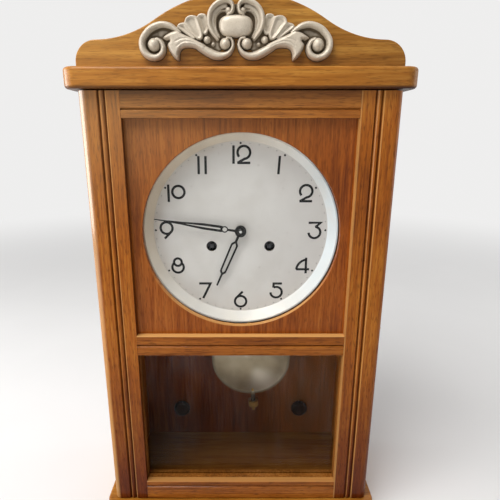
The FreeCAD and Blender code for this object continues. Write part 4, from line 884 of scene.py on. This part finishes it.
floor_mesh = bpy.data.meshes.new("floor")
floor_mesh.from_pydata([(x * FLOOR_HALF, y * FLOOR_HALF, FLOOR_Z)
                        for x, y in ((-1, -1), (1, -1), (1, 1), (-1, 1))], [], [[0, 1, 2, 3]])
floor = bpy.data.objects.new("floor", floor_mesh)
bpy.context.scene.collection.objects.link(floor)
paper, skin, place = new_finish("floor_paper", Roughness=0.9)
tree = paper.node_tree
x, y, _ = place.axes()
away = ((x * x + y * y) ** 0.5).between(0.5, 2.2)
fibre = place.cloud(5, 3)
fibre.mix(stain(232, 231, 230), stain(238, 237, 236)).into(skin["Base Color"])
glow = place.node("Emission", None, {"Color": PAPER_WHITE, "Strength": SURROUND})
lit = Tone(tree, tree.nodes["Principled BSDF"].outputs[0])
whole = place.node("MixShader", None, {0: away * seen_rays(place), 1: lit, 2: glow})
whole.into(tree.nodes["Material Output"].inputs["Surface"])
floor_mesh.materials.append(paper)

world = bpy.data.worlds.new("surround")
bpy.context.scene.world = world
world.use_nodes = True
sky = world.node_tree.nodes["Background"]
sky.inputs["Color"].default_value = PAPER_WHITE
seen = seen_rays(Tone(world.node_tree))
(seen * (SURROUND - AMBIENT) + AMBIENT).into(sky.inputs["Strength"])


def lamp(name, at, aim, wide, tall, power):
    """A soft box that hangs at one place and is turned to another; its power is in watts."""
    light = bpy.data.lights.new(name, "AREA")
    light.shape, light.size, light.size_y, light.energy = "RECTANGLE", wide, tall, power
    piece = bpy.data.objects.new(name, light)
    bpy.context.scene.collection.objects.link(piece)
    piece.location = at
    way = Vector(aim) - piece.location
    piece.rotation_euler = way.to_track_quat("-Z", "Y").to_euler()


lamp("overhead", (-0.4, -0.6, 1.0), (0, -0.1, -0.1), 0.7, 0.7, 16)
lamp("window", (-1.3, -0.35, 0.05), (-0.1, -0.1, -0.05), 1.3, 0.85, 14)
lamp("front", (-0.7, -2.0, 0.5), (0, -0.1, -0.2), 1.6, 1.6, 3)
lamp("far_side", (1.4, 0.1, 0.2), (0.1, -0.1, -0.1), 0.8, 1.2, 6)
lamp("behind", (0.4, 1.6, 1.2), (0, 0, -0.1), 1.6, 1.6, 9)

# Camera: held close in front of the dial, above its middle, and tipped a little down.
# It stands so near that the sides of the case draw together towards the foot.
EYE = (0, -0.55385, -0.00503)
TIPPED = 74.53  # degrees; 90 would be level
view = bpy.data.cameras.new("view")
view.lens, view.sensor_width = 30.5, 36
view.shift_x = 0.0188
view.clip_start = 0.01
camera = bpy.data.objects.new("view", view)
bpy.context.scene.collection.objects.link(camera)
camera.location = EYE
camera.rotation_euler = (math.radians(TIPPED), 0, 0)
bpy.context.scene.camera = camera
bpy.context.scene.view_settings.view_transform = "Standard"
